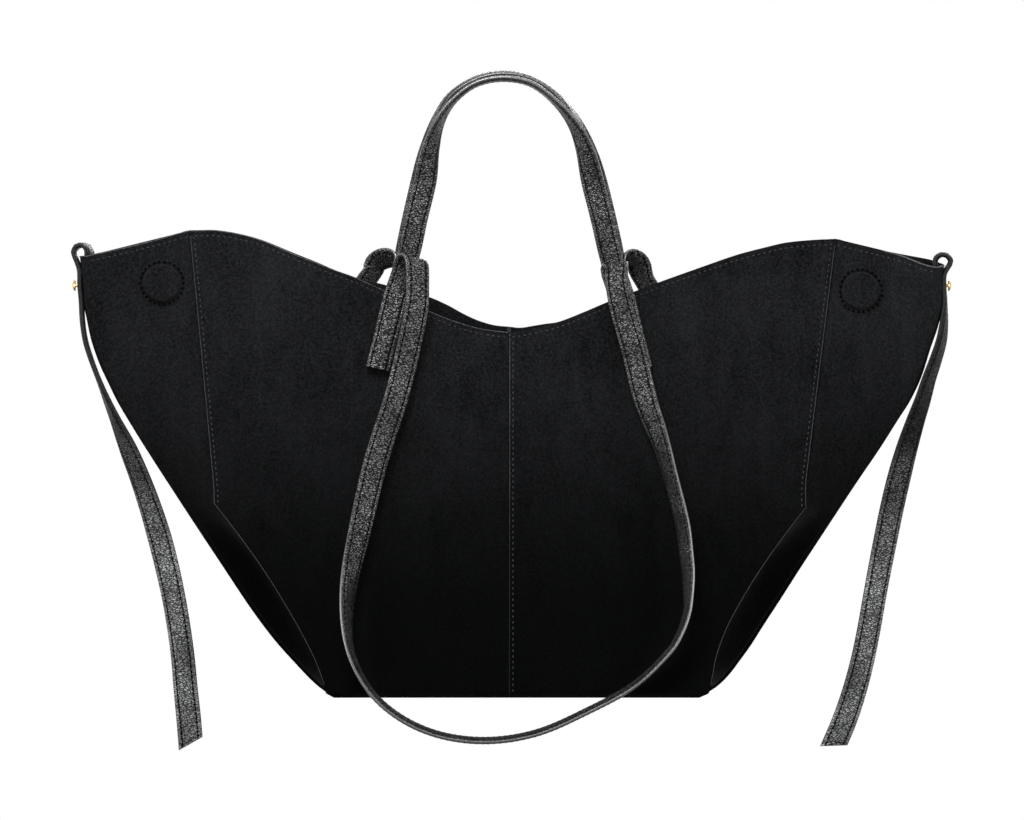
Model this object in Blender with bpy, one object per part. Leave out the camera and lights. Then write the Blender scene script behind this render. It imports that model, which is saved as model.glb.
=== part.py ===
"""Slouchy suede tote bag with pinched wings, short handles, long straps and side ties.

Metres, +Z up, +X to the bag's right as seen from the front, the front face towards -Y.
The bag is modelled with its underside at z = 0 and then hung from an empty, so that the
world origin is the carry point, under the tops of the two short handles.
"""

import math

import bmesh
import bpy
import numpy as np
from mathutils import Matrix, Vector

# Leather and clearances
SUEDE = 0.0018
STRAP_WIDTH = 0.0148
STRAP_THICKNESS = 0.0030
GAP = 0.0003

# Bag body
BASE_WIDTH = 0.236
BASE_DEPTH = 0.136
SEAM_FOOT_X = 0.192
SEAM_FOOT_Z = 0.124
SEAM_TOP_X = 0.208
SEAM_TOP_Z = 0.301
SEAM_TOP_DEPTH = 0.016
SEAM_PINCH = 2.3
CREASE_START = 0.56
RIM_DIP_Z = 0.237
RIM_DIP_DEPTH = 0.046
RIM_SWEEP = 1.6
BELLY = 0.005
TIP_X = 0.2825
TIP_Z = 0.2847
TIP_DEPTH = 0.022
FOLD_DEPTH = 0.0056
TIP_SPREAD_FROM = 0.60
TIP_STRAIGHT_FROM = 0.925
FOLD_OUTLINE = (
    (0.0, 0.0),
    (0.09, 0.042),
    (0.22, 0.128),
    (0.436, 0.313),
    (0.802, 0.634),
    (0.924, 0.806),
    (0.965, 0.861),
    (1.0, TIP_STRAIGHT_FROM),
    (1.0, 1.0),
)
BOARD_THICKNESS = 0.0025
BOARD_INSET = 0.0030

# Where a wing folds, outside its seam
WING_FOLD_FOOT = (SEAM_FOOT_X + 0.011, SEAM_FOOT_Z - 0.015)
WING_FOLD_TOP = (SEAM_TOP_X + 0.008, SEAM_TOP_Z - 0.001)
WING_FOLD_HALF = 0.0062

# Covered magnets on the wings
MAGNET_X = SEAM_TOP_X + 0.020
MAGNET_Z = SEAM_TOP_Z - 0.034
MAGNET_RADIUS = 0.009
MAGNET_THICKNESS = 0.0020
COVER_RADIUS = 0.012
COVER_THICKNESS = 0.0012
WING_SLACK = 0.0006

# Tabs, where a handle end and a strap end are sewn on together
TAB_FOOT_X = 0.0855
TAB_HEIGHT = 0.0485
TAB_LEAN = 0.0115
PANEL_SLACK = 0.0006
FOLD_RISE = 0.0178
FOLD_RADIUS = 0.0045
RISE_X = 0.068

# Short handles, as (x, height over the folds) along the front one; the rear one is a little wider
HANDLE_BEND_BELOW = 0.010
HANDLE_BEND_ABOVE = 0.014
HANDLE_TOP_OFFSET = 0.0092
HANDLE_ROUTE = (
    (-0.0645, 0.0140),
    (-0.0605, 0.0330),
    (-0.0542, 0.0580),
    (-0.0490, 0.0790),
    (-0.0430, 0.0960),
    (-0.0350, 0.1090),
    (-0.0210, 0.1198),
    (-0.0045, 0.1242),
    (0.0130, 0.1205),
    (0.0265, 0.1090),
    (0.0370, 0.0945),
    (0.0450, 0.0790),
    (0.0540, 0.0560),
    (0.0605, 0.0330),
    (0.0650, 0.0140),
)
HANDLE_TWIST_FOOT = 0.044
HANDLE_TWIST_TOP = 0.108
REAR_HANDLE_WIDER = 0.0022
REAR_HANDLE_HIGHER = 0.0032

# Long straps, as (x, height over the folds)
STRAP_STANDOFF = 0.0125
STRAP_EVEN_SWING = 0.62
STRAP_TWIST_TOP = -0.128
STRAP_TWIST_FOOT = -0.270
STRAP_TURN = 84.0
FRONT_STRAP_ROUTE = (
    (-0.0610, -0.0080),
    (-0.0612, -0.0230),
    (-0.0663, -0.0520),
    (-0.0741, -0.0850),
    (-0.0871, -0.1240),
    (-0.0972, -0.1694),
    (-0.1040, -0.2110),
    (-0.1020, -0.2460),
    (-0.0900, -0.2740),
    (-0.0700, -0.2930),
    (-0.0440, -0.3035),
    (-0.0137, -0.3063),
    (0.0175, -0.3011),
    (0.0488, -0.2874),
    (0.0819, -0.2695),
    (0.1069, -0.2460),
    (0.1164, -0.2110),
    (0.1118, -0.1694),
    (0.0998, -0.1240),
    (0.0887, -0.0850),
    (0.0809, -0.0520),
    (0.0728, -0.0230),
    (0.0702, -0.0080),
)
REAR_STRAP_ROUTE = (
    (-0.0800, -0.0080),
    (-0.0930, -0.0230),
    (-0.1120, -0.0500),
    (-0.1280, -0.0880),
    (-0.1340, -0.1280),
    (-0.1260, -0.1730),
    (-0.1020, -0.2180),
    (-0.0600, -0.2460),
    (0.0, -0.2560),
    (0.0600, -0.2460),
    (0.1020, -0.2180),
    (0.1260, -0.1730),
    (0.1340, -0.1280),
    (0.1280, -0.0880),
    (0.1120, -0.0500),
    (0.0930, -0.0230),
    (0.0800, -0.0080),
)

# Side ties, pinned at the wing tips by studs, as (x outside the tip's edge, height over the stud)
STUD_Z = TIP_Z - 0.0167
STUD_RADIUS = 0.0015
STUD_HEAD_RADIUS = 0.0036
STUD_HEAD_THICKNESS = 0.0012
STUD_NECK = 0.0016
TIE_LOOP_RISE = 0.0042
TIE_LOOP_RADIUS = 0.0053
TIE_LOOP_ROOT_Z = TIP_Z - 0.0127
TIE_TWIST_TOP = -0.053
TIE_TWIST_FOOT = -0.168
TIE_TURN = 86.0
TIE_END_SLANT = 25.0
LEFT_TIE_ROUTE = (
    (0.0, -0.0180),
    (-0.0030, -0.0330),
    (-0.0095, -0.0530),
    (-0.0205, -0.0730),
    (-0.0330, -0.1030),
    (-0.0460, -0.1350),
    (-0.0565, -0.1660),
    (-0.0655, -0.2050),
    (-0.0720, -0.2480),
    (-0.0755, -0.2970),
)
RIGHT_TIE_ROUTE = (
    (0.0, -0.0180),
    (-0.0020, -0.0330),
    (-0.0080, -0.0550),
    (-0.0170, -0.0780),
    (-0.0252, -0.1040),
    (-0.0330, -0.1350),
    (-0.0399, -0.1660),
    (-0.0470, -0.2050),
    (-0.0565, -0.2520),
    (-0.0727, -0.2985),
)

# How finely the surfaces are cut
PANEL_COLUMNS = 10
SIDE_COLUMNS = 4
ROWS = 11
ROW_CROWDING = 1.35
ROUND_SIDES = 24
STEM_SIDES = 12

BASE_HALF = BASE_WIDTH / 2
BASE_HALF_DEPTH = BASE_DEPTH / 2
SIDES = {"left": -1, "right": 1}
FACES = {"front": -1, "rear": 1}


def seam_x(z):
    """Half width of the front panel: up the gusset's crease, then up the wing's seam."""
    if z < SEAM_FOOT_Z:
        t = z / SEAM_FOOT_Z
        return BASE_HALF + (SEAM_FOOT_X - BASE_HALF) * t * (CREASE_START + (1 - CREASE_START) * t)
    t = (z - SEAM_FOOT_Z) / (SEAM_TOP_Z - SEAM_FOOT_Z)
    return SEAM_FOOT_X + (SEAM_TOP_X - SEAM_FOOT_X) * t


def fold_x(z):
    """Half width of the whole bag, at the outer fold of the gusset and wing."""
    across, up = zip(*FOLD_OUTLINE)
    return BASE_HALF + (TIP_X - BASE_HALF) * float(np.interp(z / TIP_Z, up, across))


def fold_depth(z):
    """Half depth of the fold's narrow end face, which widens towards the tip."""
    spread = max(0.0, (z / TIP_Z - TIP_SPREAD_FROM) / (1 - TIP_SPREAD_FROM))
    return (FOLD_DEPTH + (TIP_DEPTH - FOLD_DEPTH) * spread**1.5) / 2


def seam_depth(z):
    """Half depth of the bag at the crease and wing seam."""
    left = max(0.0, 1 - z / SEAM_TOP_Z)
    return SEAM_TOP_DEPTH / 2 + (BASE_HALF_DEPTH - SEAM_TOP_DEPTH / 2) * left**SEAM_PINCH


def centre_depth(z):
    """Half depth of the bag at the centre seam, with the belly of a slack panel."""
    straight = BASE_HALF_DEPTH - (BASE_HALF_DEPTH - RIM_DIP_DEPTH / 2) * z / RIM_DIP_Z
    t = min(1.0, max(0.0, z / RIM_DIP_Z))
    return straight + 4 * BELLY * t * (1 - t)


def panel_depth(x, z):
    """Half depth of a front or rear panel's outer surface at x, z."""
    across = min(1.0, abs(x) / seam_x(z))
    at_seam = seam_depth(z)
    return at_seam + (centre_depth(z) - at_seam) * math.cos(math.pi * across / 2) ** 2


def rim_z(across):
    """Height of the rim, from the dip at the centre (0) to the wing seam (1)."""
    return RIM_DIP_Z + (SEAM_TOP_Z - RIM_DIP_Z) * math.sin(math.pi * across / 2) ** RIM_SWEEP


# Heights that follow from the rim where the tabs cross it
TAB_RIM_X = TAB_FOOT_X - TAB_LEAN
TAB_RIM_Z = rim_z(TAB_RIM_X / SEAM_TOP_X)
TAB_FOOT_Z = TAB_RIM_Z - TAB_HEIGHT
FOLD_Z = TAB_RIM_Z + FOLD_RISE
HANDLE_BEND_FOOT = FOLD_Z - HANDLE_BEND_BELOW
HANDLE_BEND_TOP = FOLD_Z + HANDLE_BEND_ABOVE
CARRY_Z = FOLD_Z + max(rise for _, rise in HANDLE_ROUTE) - STRAP_THICKNESS / 2


def fresh_collection(name):
    collection = bpy.data.collections.new(name)
    bpy.context.scene.collection.children.link(collection)
    return collection


def material(name, colour, roughness, metallic=0.0):
    made = bpy.data.materials.new(name)
    made.use_nodes = True
    shader = made.node_tree.nodes["Principled BSDF"]
    shader.inputs["Base Color"].default_value = (*colour, 1.0)
    shader.inputs["Roughness"].default_value = roughness
    shader.inputs["Metallic"].default_value = metallic
    return made


def empty_at(name, point, parent=None):
    """An empty on a joint's axis, or the datum; point is in the bag's own frame."""
    empty = bpy.data.objects.new(name, None)
    parts.objects.link(empty)
    if parent is None:
        empty.location = point
    else:
        empty.parent = parent
        empty.location = Vector(point) - ORIGIN_OF.get(parent.name, Vector())
    ORIGIN_OF[name] = Vector(point) if parent is not None else Vector()
    return empty


def add(name, bm, made_of, holder):
    """A solid drawn in the bag's frame becomes an object under its joint's empty."""
    bmesh.ops.recalc_face_normals(bm, faces=bm.faces)
    bmesh.ops.translate(bm, verts=bm.verts, vec=-ORIGIN_OF[holder.name])
    mesh = bpy.data.meshes.new(name)
    bm.to_mesh(mesh)
    bm.free()
    mesh.materials.append(made_of)
    obj = bpy.data.objects.new(name, mesh)
    parts.objects.link(obj)
    obj.parent = holder
    return obj


def grid_solid(outer, inner):
    """A closed sheet between two grids of points with as many rows and columns."""
    bm = bmesh.new()
    rows, columns = len(outer), len(outer[0])
    skins = [[[bm.verts.new(p) for p in row] for row in grid] for grid in (outer, inner)]
    for skin in skins:
        for j in range(rows - 1):
            for i in range(columns - 1):
                bm.faces.new((skin[j][i], skin[j][i + 1], skin[j + 1][i + 1], skin[j + 1][i]))
    rim = [(0, i) for i in range(columns)] + [(j, columns - 1) for j in range(1, rows)]
    rim += [(rows - 1, i) for i in range(columns - 2, -1, -1)] + [(j, 0) for j in range(rows - 2, 0, -1)]
    for (j, i), (k, m) in zip(rim, rim[1:] + rim[:1]):
        bm.faces.new((skins[0][j][i], skins[0][k][m], skins[1][k][m], skins[1][j][i]))
    return bm


def row_heights():
    """Shares of the full height, crowded near the base, with one where the tip's edge starts."""
    return [TIP_STRAIGHT_FROM * (j / (ROWS - 1)) ** ROW_CROWDING for j in range(ROWS)] + [1.0]


def mitre(z):
    """Unit way along the side wall from the seam, and the tangent of half its turn."""
    run = fold_x(z * TIP_Z / SEAM_TOP_Z) - seam_x(z)
    way = Vector((run, seam_depth(z) - fold_depth(z), 0)).normalized()
    return way, math.tan(math.atan2(way.y, way.x) / 2)


def panel(name, side, face):
    """Half of the front or rear: from the centre seam to the crease and the wing seam."""
    outer, inner = [], []
    for v in row_heights():
        seam_z = v * SEAM_TOP_Z
        half = seam_x(seam_z)
        _, turn = mitre(seam_z)
        skin, lining = [], []
        for i in range(PANEL_COLUMNS + 1):
            across = i / PANEL_COLUMNS
            x = max(GAP / 2, across * half - (GAP if i == PANEL_COLUMNS else 0))
            z = v * rim_z(across)
            depth = panel_depth(across * half, z)
            inset = SUEDE * turn if i == PANEL_COLUMNS else 0
            skin.append((side * x, face * depth, z))
            lining.append((side * (x - inset), face * (depth - SUEDE), z))
        outer.append(skin)
        inner.append(lining)
    add(name, grid_solid(outer, inner), suede, bag)


def side_shell():
    """Gusset and wing in one: a sheet folded round the bag's right edge."""
    outer, inner = [], []
    for v in row_heights():
        seam_z, edge_z = v * SEAM_TOP_Z, v * TIP_Z
        way, turn = mitre(seam_z)
        end = fold_depth(edge_z)
        start = (seam_x(seam_z) + GAP * way.x, seam_depth(seam_z) - GAP * way.y, seam_z)
        start_in = (start[0] - SUEDE * turn, start[1] - SUEDE, seam_z)
        stop = (fold_x(edge_z), end, edge_z)
        stop_in = (stop[0] - SUEDE, end - SUEDE, edge_z)
        skin, lining = [], []
        for row, first, last in ((skin, start, stop), (lining, start_in, stop_in)):
            shares = [i / SIDE_COLUMNS for i in range(SIDE_COLUMNS + 1)]
            half = [np.array(first) + (np.array(last) - first) * share for share in shares]
            row += [(x, -y, z) for x, y, z in half]
            row += [(x, y, z) for x, y, z in reversed(half)]
        outer.append(skin)
        inner.append(lining)
    return grid_solid(outer, inner)


def stock(name, bm):
    """An object to cut with or to cut from, kept out of the finished parts."""
    bmesh.ops.recalc_face_normals(bm, faces=bm.faces)
    mesh = bpy.data.meshes.new(name)
    bm.to_mesh(mesh)
    bm.free()
    obj = bpy.data.objects.new(name, mesh)
    cutters.objects.link(obj)
    obj.hide_render = True
    obj.display_type = "WIRE"
    return obj


def zone(name, start, stop):
    """A cutter that keeps what lies from start to stop outside the wing's fold line."""
    foot = Vector((WING_FOLD_FOOT[0], 0, WING_FOLD_FOOT[1]))
    top = Vector((WING_FOLD_TOP[0], 0, WING_FOLD_TOP[1]))
    up = (top - foot).normalized()
    out = Vector((up.z, 0, -up.x))
    reach = 4 * SEAM_TOP_Z
    bm = bmesh.new()
    size = Matrix.Diagonal((stop - start, 2 * BASE_DEPTH, reach, 1.0))
    turn = Matrix((out, Vector((0, 1, 0)), up)).transposed().to_4x4()
    middle = Matrix.Translation(foot + out * (start + stop) / 2)
    bmesh.ops.create_cube(bm, size=1.0, matrix=middle @ turn @ size)
    return stock(name, bm)


def cut(obj, cutter, operation):
    """Applies one boolean, so that the finished mesh can be mirrored by its points."""
    modifier = obj.modifiers.new(operation.title(), "BOOLEAN")
    modifier.operation = operation
    modifier.object = cutter
    bpy.context.view_layer.update()
    mesh = bpy.data.meshes.new_from_object(obj.evaluated_get(bpy.context.evaluated_depsgraph_get()))
    obj.modifiers.clear()
    old, obj.data = obj.data, mesh
    bpy.data.meshes.remove(old)


def shell_piece(name, side, cutter, holder, bores=()):
    """The part of the side shell inside one zone, mirrored to its side of the bag."""
    blank = stock(name + "_blank", side_shell())
    cut(blank, cutter, "INTERSECT")
    for bore in bores:
        cut(blank, bore, "DIFFERENCE")
    bm = bmesh.new()
    bm.from_mesh(blank.data)
    bmesh.ops.remove_doubles(bm, verts=bm.verts, dist=0.00001)
    bmesh.ops.scale(bm, vec=(side, 1, 1), verts=bm.verts)
    left_over = blank.data
    bpy.data.objects.remove(blank)
    bpy.data.meshes.remove(left_over)
    add(name, bm, suede, holder)


def smooth(points, steps):
    """Points on a smooth curve through the given ones."""
    padded = [2 * points[0] - points[1], *points, 2 * points[-1] - points[-2]]
    curve = []
    for a, b, c, d in zip(padded, padded[1:], padded[2:], padded[3:]):
        for k in range(steps):
            t = k / steps
            bend = (2 * a - 5 * b + 4 * c - d) * t**2 + (3 * b - a - 3 * c + d) * t**3
            curve.append(0.5 * (2 * b + (c - a) * t + bend))
    return [*curve, points[-1]]


def strap(route, width_ways, slant=0.0, level=(), sheared=False):
    """A flat strap along a route; width_ways gives the way across it at each point.

    level lists the ends, 0 or -1, that are cut along the horizontal and not square. A sheared
    strap drifts sideways with its sections still square to the bag's width."""
    lower, upper = [], []
    last = len(route) - 1
    level_at = [n % len(route) for n in level]
    for n, (point, across) in enumerate(zip(route, width_ways)):
        along = (route[min(n + 1, last)] - route[max(n - 1, 0)]).normalized()
        if n in level_at:
            along = Vector((0, 0, math.copysign(1, along.z)))
        if sheared:
            along = Vector((0, along.y, along.z)).normalized()
        across = (across - along * across.dot(along)).normalized()
        skew = along * (math.tan(math.radians(slant)) * STRAP_WIDTH / 2 if n == last else 0)
        half = across * STRAP_WIDTH / 2
        up = along.cross(across) * STRAP_THICKNESS / 2
        lower.append([point - half - skew - up, point + half + skew - up])
        upper.append([point - half - skew + up, point + half + skew + up])
    return grid_solid(lower, upper)


def ease(value, start, stop):
    t = min(1.0, max(0.0, (value - start) / (stop - start)))
    return t * t * (3 - 2 * t)


def twisted(route, face, turn, start, stop):
    """Ways across a strap that lies flat, then turns its outer edge away from the bag.

    turn is 1 for a route that starts upwards on the left, and -1 for one that starts downwards."""
    ways = []
    last = len(route) - 1
    for n, point in enumerate(route):
        along = (route[min(n + 1, last)] - route[max(n - 1, 0)]).normalized()
        flat = Vector((0, -1, 0)).cross(along).normalized()
        angle = math.radians(STRAP_TURN) * ease(point.z, start, stop)
        ways.append(flat * math.cos(angle) + Vector((0, face * turn, 0)) * math.sin(angle))
    return ways


def layer(depth, number):
    """Depth of the middle of a strap that lies number layers out from a surface."""
    return depth + (number + 0.5) * (STRAP_THICKNESS + GAP)


def rim_depth():
    """Half depth of the panel where the tabs cross the rim."""
    return panel_depth(TAB_RIM_X, TAB_RIM_Z)


def tab_route(side, face, number, stop_z):
    """Up the panel from the tab's foot, over the rim, then straight up to stop_z.

    Returns the points and the ways across, which follow the panel's slope up to the rim."""
    points, ways = [], []
    for k in range(5):
        t = k / 4
        x, z = TAB_FOOT_X - TAB_LEAN * t, TAB_FOOT_Z + TAB_HEIGHT * t
        near, far = (panel_depth(x + reach, z) for reach in (-STRAP_WIDTH / 2, STRAP_WIDTH / 2))
        points.append(Vector((side * x, face * layer(panel_depth(x, z) + PANEL_SLACK, number), z)))
        ways.append(Vector((side, face * (far - near) / STRAP_WIDTH, 0)))
    for z in sorted({min(stop_z, HANDLE_BEND_FOOT - GAP), stop_z}):
        x = TAB_RIM_X + (RISE_X - TAB_RIM_X) * (z - TAB_RIM_Z) / (FOLD_Z - TAB_RIM_Z)
        points.append(Vector((side * x, face * layer(rim_depth() + PANEL_SLACK, number), z)))
        ways.append(Vector((side, 0, 0)))
    return points, ways


def fold_centre():
    """Half depth of the axis that a long strap folds about."""
    return layer(rim_depth() + PANEL_SLACK, 1) + FOLD_RADIUS


def strap_depth(z):
    """Half depth of a hanging long strap, from its fold out past the base's edge."""
    start = fold_centre() + FOLD_RADIUS
    stop = BASE_HALF_DEPTH + STRAP_STANDOFF
    t = (FOLD_Z - z) / FOLD_Z
    return start + (stop - start) * t * (STRAP_EVEN_SWING + (1 - STRAP_EVEN_SWING) * t)


def handle_depth(z):
    """Half depth of a short handle, which leans in to meet the other at its top."""
    start = layer(rim_depth() + PANEL_SLACK, 0)
    return start + (HANDLE_TOP_OFFSET - start) * ease(z, HANDLE_BEND_TOP, FOLD_Z + HANDLE_TWIST_TOP)


def tab_pieces(face_name, side_name, strap_x):
    """The sewn ends of a handle and a strap, and the bends that they turn in."""
    side, face = SIDES[side_name], FACES[face_name]
    where = f"{face_name}_{side_name}"
    low, ways = tab_route(side, face, 0, HANDLE_BEND_FOOT - GAP)
    add(f"{where}_handle_end", strap(low, ways, level=(-1,)), leather, bag)
    high, ways = tab_route(side, face, 1, FOLD_Z)
    add(f"{where}_strap_end", strap(high, ways, level=(-1,)), leather, bag)

    wide = REAR_HANDLE_WIDER if face_name == "rear" else 0
    top_x = HANDLE_ROUTE[0 if side < 0 else -1][0] + side * wide
    bend_foot = Vector((low[-1].x, low[-1].y, HANDLE_BEND_FOOT))
    bend_top = Vector((top_x, low[-1].y, HANDLE_BEND_TOP - GAP))
    bend = [bend_foot, (bend_foot + bend_top) / 2, bend_top]
    flat = [Vector((side, 0, 0))] * len(bend)
    add(f"{where}_handle_bend", strap(bend, flat, level=(0, -1)), leather, bag)

    arc = []
    for k in range(9):
        angle = math.pi * k / 8
        x = side * RISE_X + (strap_x - side * RISE_X) * k / 8
        y = face * (fold_centre() - FOLD_RADIUS * math.cos(angle))
        arc.append(Vector((x, y, FOLD_Z + GAP + FOLD_RADIUS * math.sin(angle))))
    across = [Vector((side, 0, 0))] * len(arc)
    add(f"{where}_strap_fold", strap(arc, across, level=(0, -1), sheared=True), leather, bag)


def handle(face_name, holder):
    face = FACES[face_name]
    wider, higher = (REAR_HANDLE_WIDER, REAR_HANDLE_HIGHER) if face_name == "rear" else (0, 0)
    points = []
    for x, rise in HANDLE_ROUTE:
        z = FOLD_Z + rise
        wide = math.copysign(wider, x) * (rise < HANDLE_TWIST_TOP)
        high = higher * ease(rise, HANDLE_BEND_ABOVE, HANDLE_TWIST_TOP)
        points.append(Vector((x + wide, face * handle_depth(z), z + high)))
    route = smooth(points, 2)
    ways = twisted(route, face, 1, FOLD_Z + HANDLE_TWIST_FOOT, FOLD_Z + HANDLE_TWIST_TOP)
    add(f"{face_name}_short_handle", strap(route, ways, level=(0, -1)), leather, holder)


def long_strap(face_name, xz, holder):
    face = FACES[face_name]
    points = [(x, FOLD_Z + rise) for x, rise in ((xz[0][0], 0), *xz, (xz[-1][0], 0))]
    route = smooth([Vector((x, face * strap_depth(z), z)) for x, z in points], 2)
    ways = twisted(route, face, -1, FOLD_Z + STRAP_TWIST_TOP, FOLD_Z + STRAP_TWIST_FOOT)
    add(f"{face_name}_long_strap", strap(route, ways, level=(0, -1)), leather, holder)


def rod(radius, start, stop, sides=ROUND_SIDES):
    """A closed round bar from one point to another."""
    bm = bmesh.new()
    along = Vector(stop) - Vector(start)
    turn = along.to_track_quat("Z", "Y").to_matrix().to_4x4()
    middle = Matrix.Translation((Vector(start) + Vector(stop)) / 2)
    place = middle @ turn
    length = along.length
    bmesh.ops.create_cone(
        bm, cap_ends=True, segments=sides, radius1=radius, radius2=radius, depth=length, matrix=place
    )
    return bm


def combined(operation, first, other):
    """Two solids joined, or the second cut from the first, as one closed body."""
    kept, used = stock("kept", first), stock("used", other)
    cut(kept, used, operation)
    bm = bmesh.new()
    bm.from_mesh(kept.data)
    bpy.data.objects.remove(kept)
    bpy.data.objects.remove(used)
    return bm


def wing_point(x, z, inside=0.0):
    """A point on a wing's outer face at x, z, or inside it by a depth, for the right rear face."""
    v = z / (SEAM_TOP_Z + (TIP_Z - SEAM_TOP_Z) * (x - SEAM_TOP_X) / (TIP_X - SEAM_TOP_X))
    start, stop = seam_x(v * SEAM_TOP_Z), fold_x(v * TIP_Z)
    across = (x - start) / (stop - start)
    depth = seam_depth(v * SEAM_TOP_Z) * (1 - across) + fold_depth(v * TIP_Z) * across
    return Vector((x, depth - inside, z))


def wing_disc(name, side, face, radius, near, far, made_of, holder):
    """A disc parallel to the wing, between two heights above its outer face."""
    step = 0.002
    middle = wing_point(MAGNET_X, MAGNET_Z)
    across = wing_point(MAGNET_X + step, MAGNET_Z) - middle
    up = wing_point(MAGNET_X, MAGNET_Z + step) - middle
    out = up.cross(across).normalized()
    bm = rod(radius, middle + out * near, middle + out * far)
    bmesh.ops.scale(bm, vec=(side, face, 1), verts=bm.verts)
    add(name, bm, made_of, holder)


def tie_strap(name, side, xz, holder):
    """The tail of a side tie: a round nose on the stud, then a strap that turns to the front."""
    edge = fold_x(STUD_Z) + GAP + STRAP_THICKNESS / 2
    route = [Vector((side * edge, 0, STUD_Z))]
    route += [Vector((side * (edge + dx), 0, STUD_Z + rise)) for dx, rise in xz]
    route = smooth(route, 2)
    ways = []
    for n, point in enumerate(route):
        along = (route[min(n + 1, len(route) - 1)] - route[max(n - 1, 0)]).normalized()
        edge_on = Vector((0, -1, 0))
        flat = along.cross(edge_on)
        angle = math.radians(TIE_TURN) * ease(point.z - STUD_Z, TIE_TWIST_TOP, TIE_TWIST_FOOT)
        ways.append(edge_on * math.cos(angle) + flat * math.sin(angle))
    tail = strap(route, ways, TIE_END_SLANT)
    half = Vector((STRAP_THICKNESS / 2, 0, 0))
    nose = rod(STRAP_WIDTH / 2, route[0] - half, route[0] + half)
    hole = rod(STUD_RADIUS + GAP, route[0] - 3 * half, route[0] + 3 * half, STEM_SIDES)
    add(name, combined("DIFFERENCE", combined("UNION", tail, nose), hole), leather, holder)


def tie_loop(name, side, holder):
    """The tie's upper run: sewn inside the tip, over its rim and down to the stud."""
    outside = fold_x(STUD_Z) + GAP + STRAP_THICKNESS / 2
    inside = outside - 2 * TIE_LOOP_RADIUS
    top = TIP_Z + TIE_LOOP_RISE
    route = [Vector((side * inside, 0, TIE_LOOP_ROOT_Z)), Vector((side * inside, 0, TIP_Z))]
    for k in range(9):
        angle = math.pi * (1 - k / 8)
        x = inside + TIE_LOOP_RADIUS + TIE_LOOP_RADIUS * math.cos(angle)
        route.append(Vector((side * x, 0, top + TIE_LOOP_RADIUS * math.sin(angle))))
    route.append(Vector((side * outside, 0, STUD_Z + STRAP_WIDTH / 2 + GAP)))
    ways = [Vector((0, 1, 0))] * len(route)
    add(name, strap(route, ways), leather, holder)


def stud(side_name, holder):
    """A brass stud through the wing's end wall and the tie, with a cap on its inner end."""
    side = SIDES[side_name]
    wall = fold_x(STUD_Z)
    inner = wall - SUEDE - GAP
    outer = wall + 2 * GAP + STRAP_THICKNESS
    neck = outer + STUD_NECK

    def turned(radius, start, stop, sides=ROUND_SIDES):
        return rod(radius, (side * start, 0, STUD_Z), (side * stop, 0, STUD_Z), sides)

    stem = turned(STUD_RADIUS, inner - STUD_NECK, neck + GAP, STEM_SIDES)
    head = turned(STUD_HEAD_RADIUS, neck, neck + STUD_HEAD_THICKNESS)
    add(f"{side_name}_stud", combined("UNION", stem, head), brass, holder)
    cap = turned(STUD_HEAD_RADIUS, inner - SUEDE, inner)
    bore = turned(STUD_RADIUS + GAP, inner - 3 * SUEDE, wall, STEM_SIDES)
    add(f"{side_name}_stud_cap", combined("DIFFERENCE", cap, bore), brass, holder)


def base():
    """The sewn-in base panel, and the loose stiffening board that lies on it."""
    half_x = BASE_HALF - SUEDE - GAP
    half_y = seam_depth(SUEDE) - SUEDE - GAP
    bm = bmesh.new()
    size = Matrix.Diagonal((2 * half_x, 2 * half_y, SUEDE, 1.0))
    bmesh.ops.create_cube(bm, size=1.0, matrix=Matrix.Translation((0, 0, SUEDE / 2)) @ size)
    add("base_panel", bm, suede, bag)
    foot = SUEDE + GAP
    board_y = seam_depth(foot + BOARD_THICKNESS) - SUEDE - BOARD_INSET
    bm = bmesh.new()
    size = Matrix.Diagonal((2 * (half_x - BOARD_INSET), 2 * board_y, BOARD_THICKNESS, 1.0))
    middle = Matrix.Translation((0, 0, foot + BOARD_THICKNESS / 2))
    bmesh.ops.create_cube(bm, size=1.0, matrix=middle @ size)
    add("base_board", bm, fibreboard, bag)


def wing(side_name, inner_zone, fold_zone, wing_zone):
    """One side of the bag: gusset, folding strip, wing, its magnets, and the tie with its stud."""
    side = SIDES[side_name]
    axis_foot = (side * WING_FOLD_FOOT[0], 0, WING_FOLD_FOOT[1])
    hinge = empty_at(f"{side_name}_wing_axis", axis_foot, bag)
    edge = fold_x(STUD_Z)
    bore_from, bore_to = (edge - 4 * SUEDE, 0, STUD_Z), (edge + SUEDE, 0, STUD_Z)
    bore = stock("stud_bore", rod(STUD_RADIUS + GAP, bore_from, bore_to, STEM_SIDES))
    shell_piece(f"{side_name}_gusset", side, inner_zone, bag)
    shell_piece(f"{side_name}_wing_fold", side, fold_zone, bag)
    shell_piece(f"{side_name}_wing", side, wing_zone, hinge, [bore])
    for face_name, face in FACES.items():
        where = f"{side_name}_{face_name}_magnet"
        under = -SUEDE - WING_SLACK
        wing_disc(where, side, face, MAGNET_RADIUS, under - MAGNET_THICKNESS, under, steel, hinge)
        over = WING_SLACK + COVER_THICKNESS
        wing_disc(f"{where}_cover", side, face, COVER_RADIUS, WING_SLACK, over, suede, hinge)
    tie_loop(f"{side_name}_tie_loop", side, hinge)
    stud(side_name, hinge)
    pivot = empty_at(f"{side_name}_tie_axis", (side * edge, 0, STUD_Z), hinge)
    tie_strap(f"{side_name}_tie", side, LEFT_TIE_ROUTE if side < 0 else RIGHT_TIE_ROUTE, pivot)


for old in list(bpy.data.objects):
    bpy.data.objects.remove(old)

parts = fresh_collection("slouchy_tote")
cutters = fresh_collection("cutters")
ORIGIN_OF = {}

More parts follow.
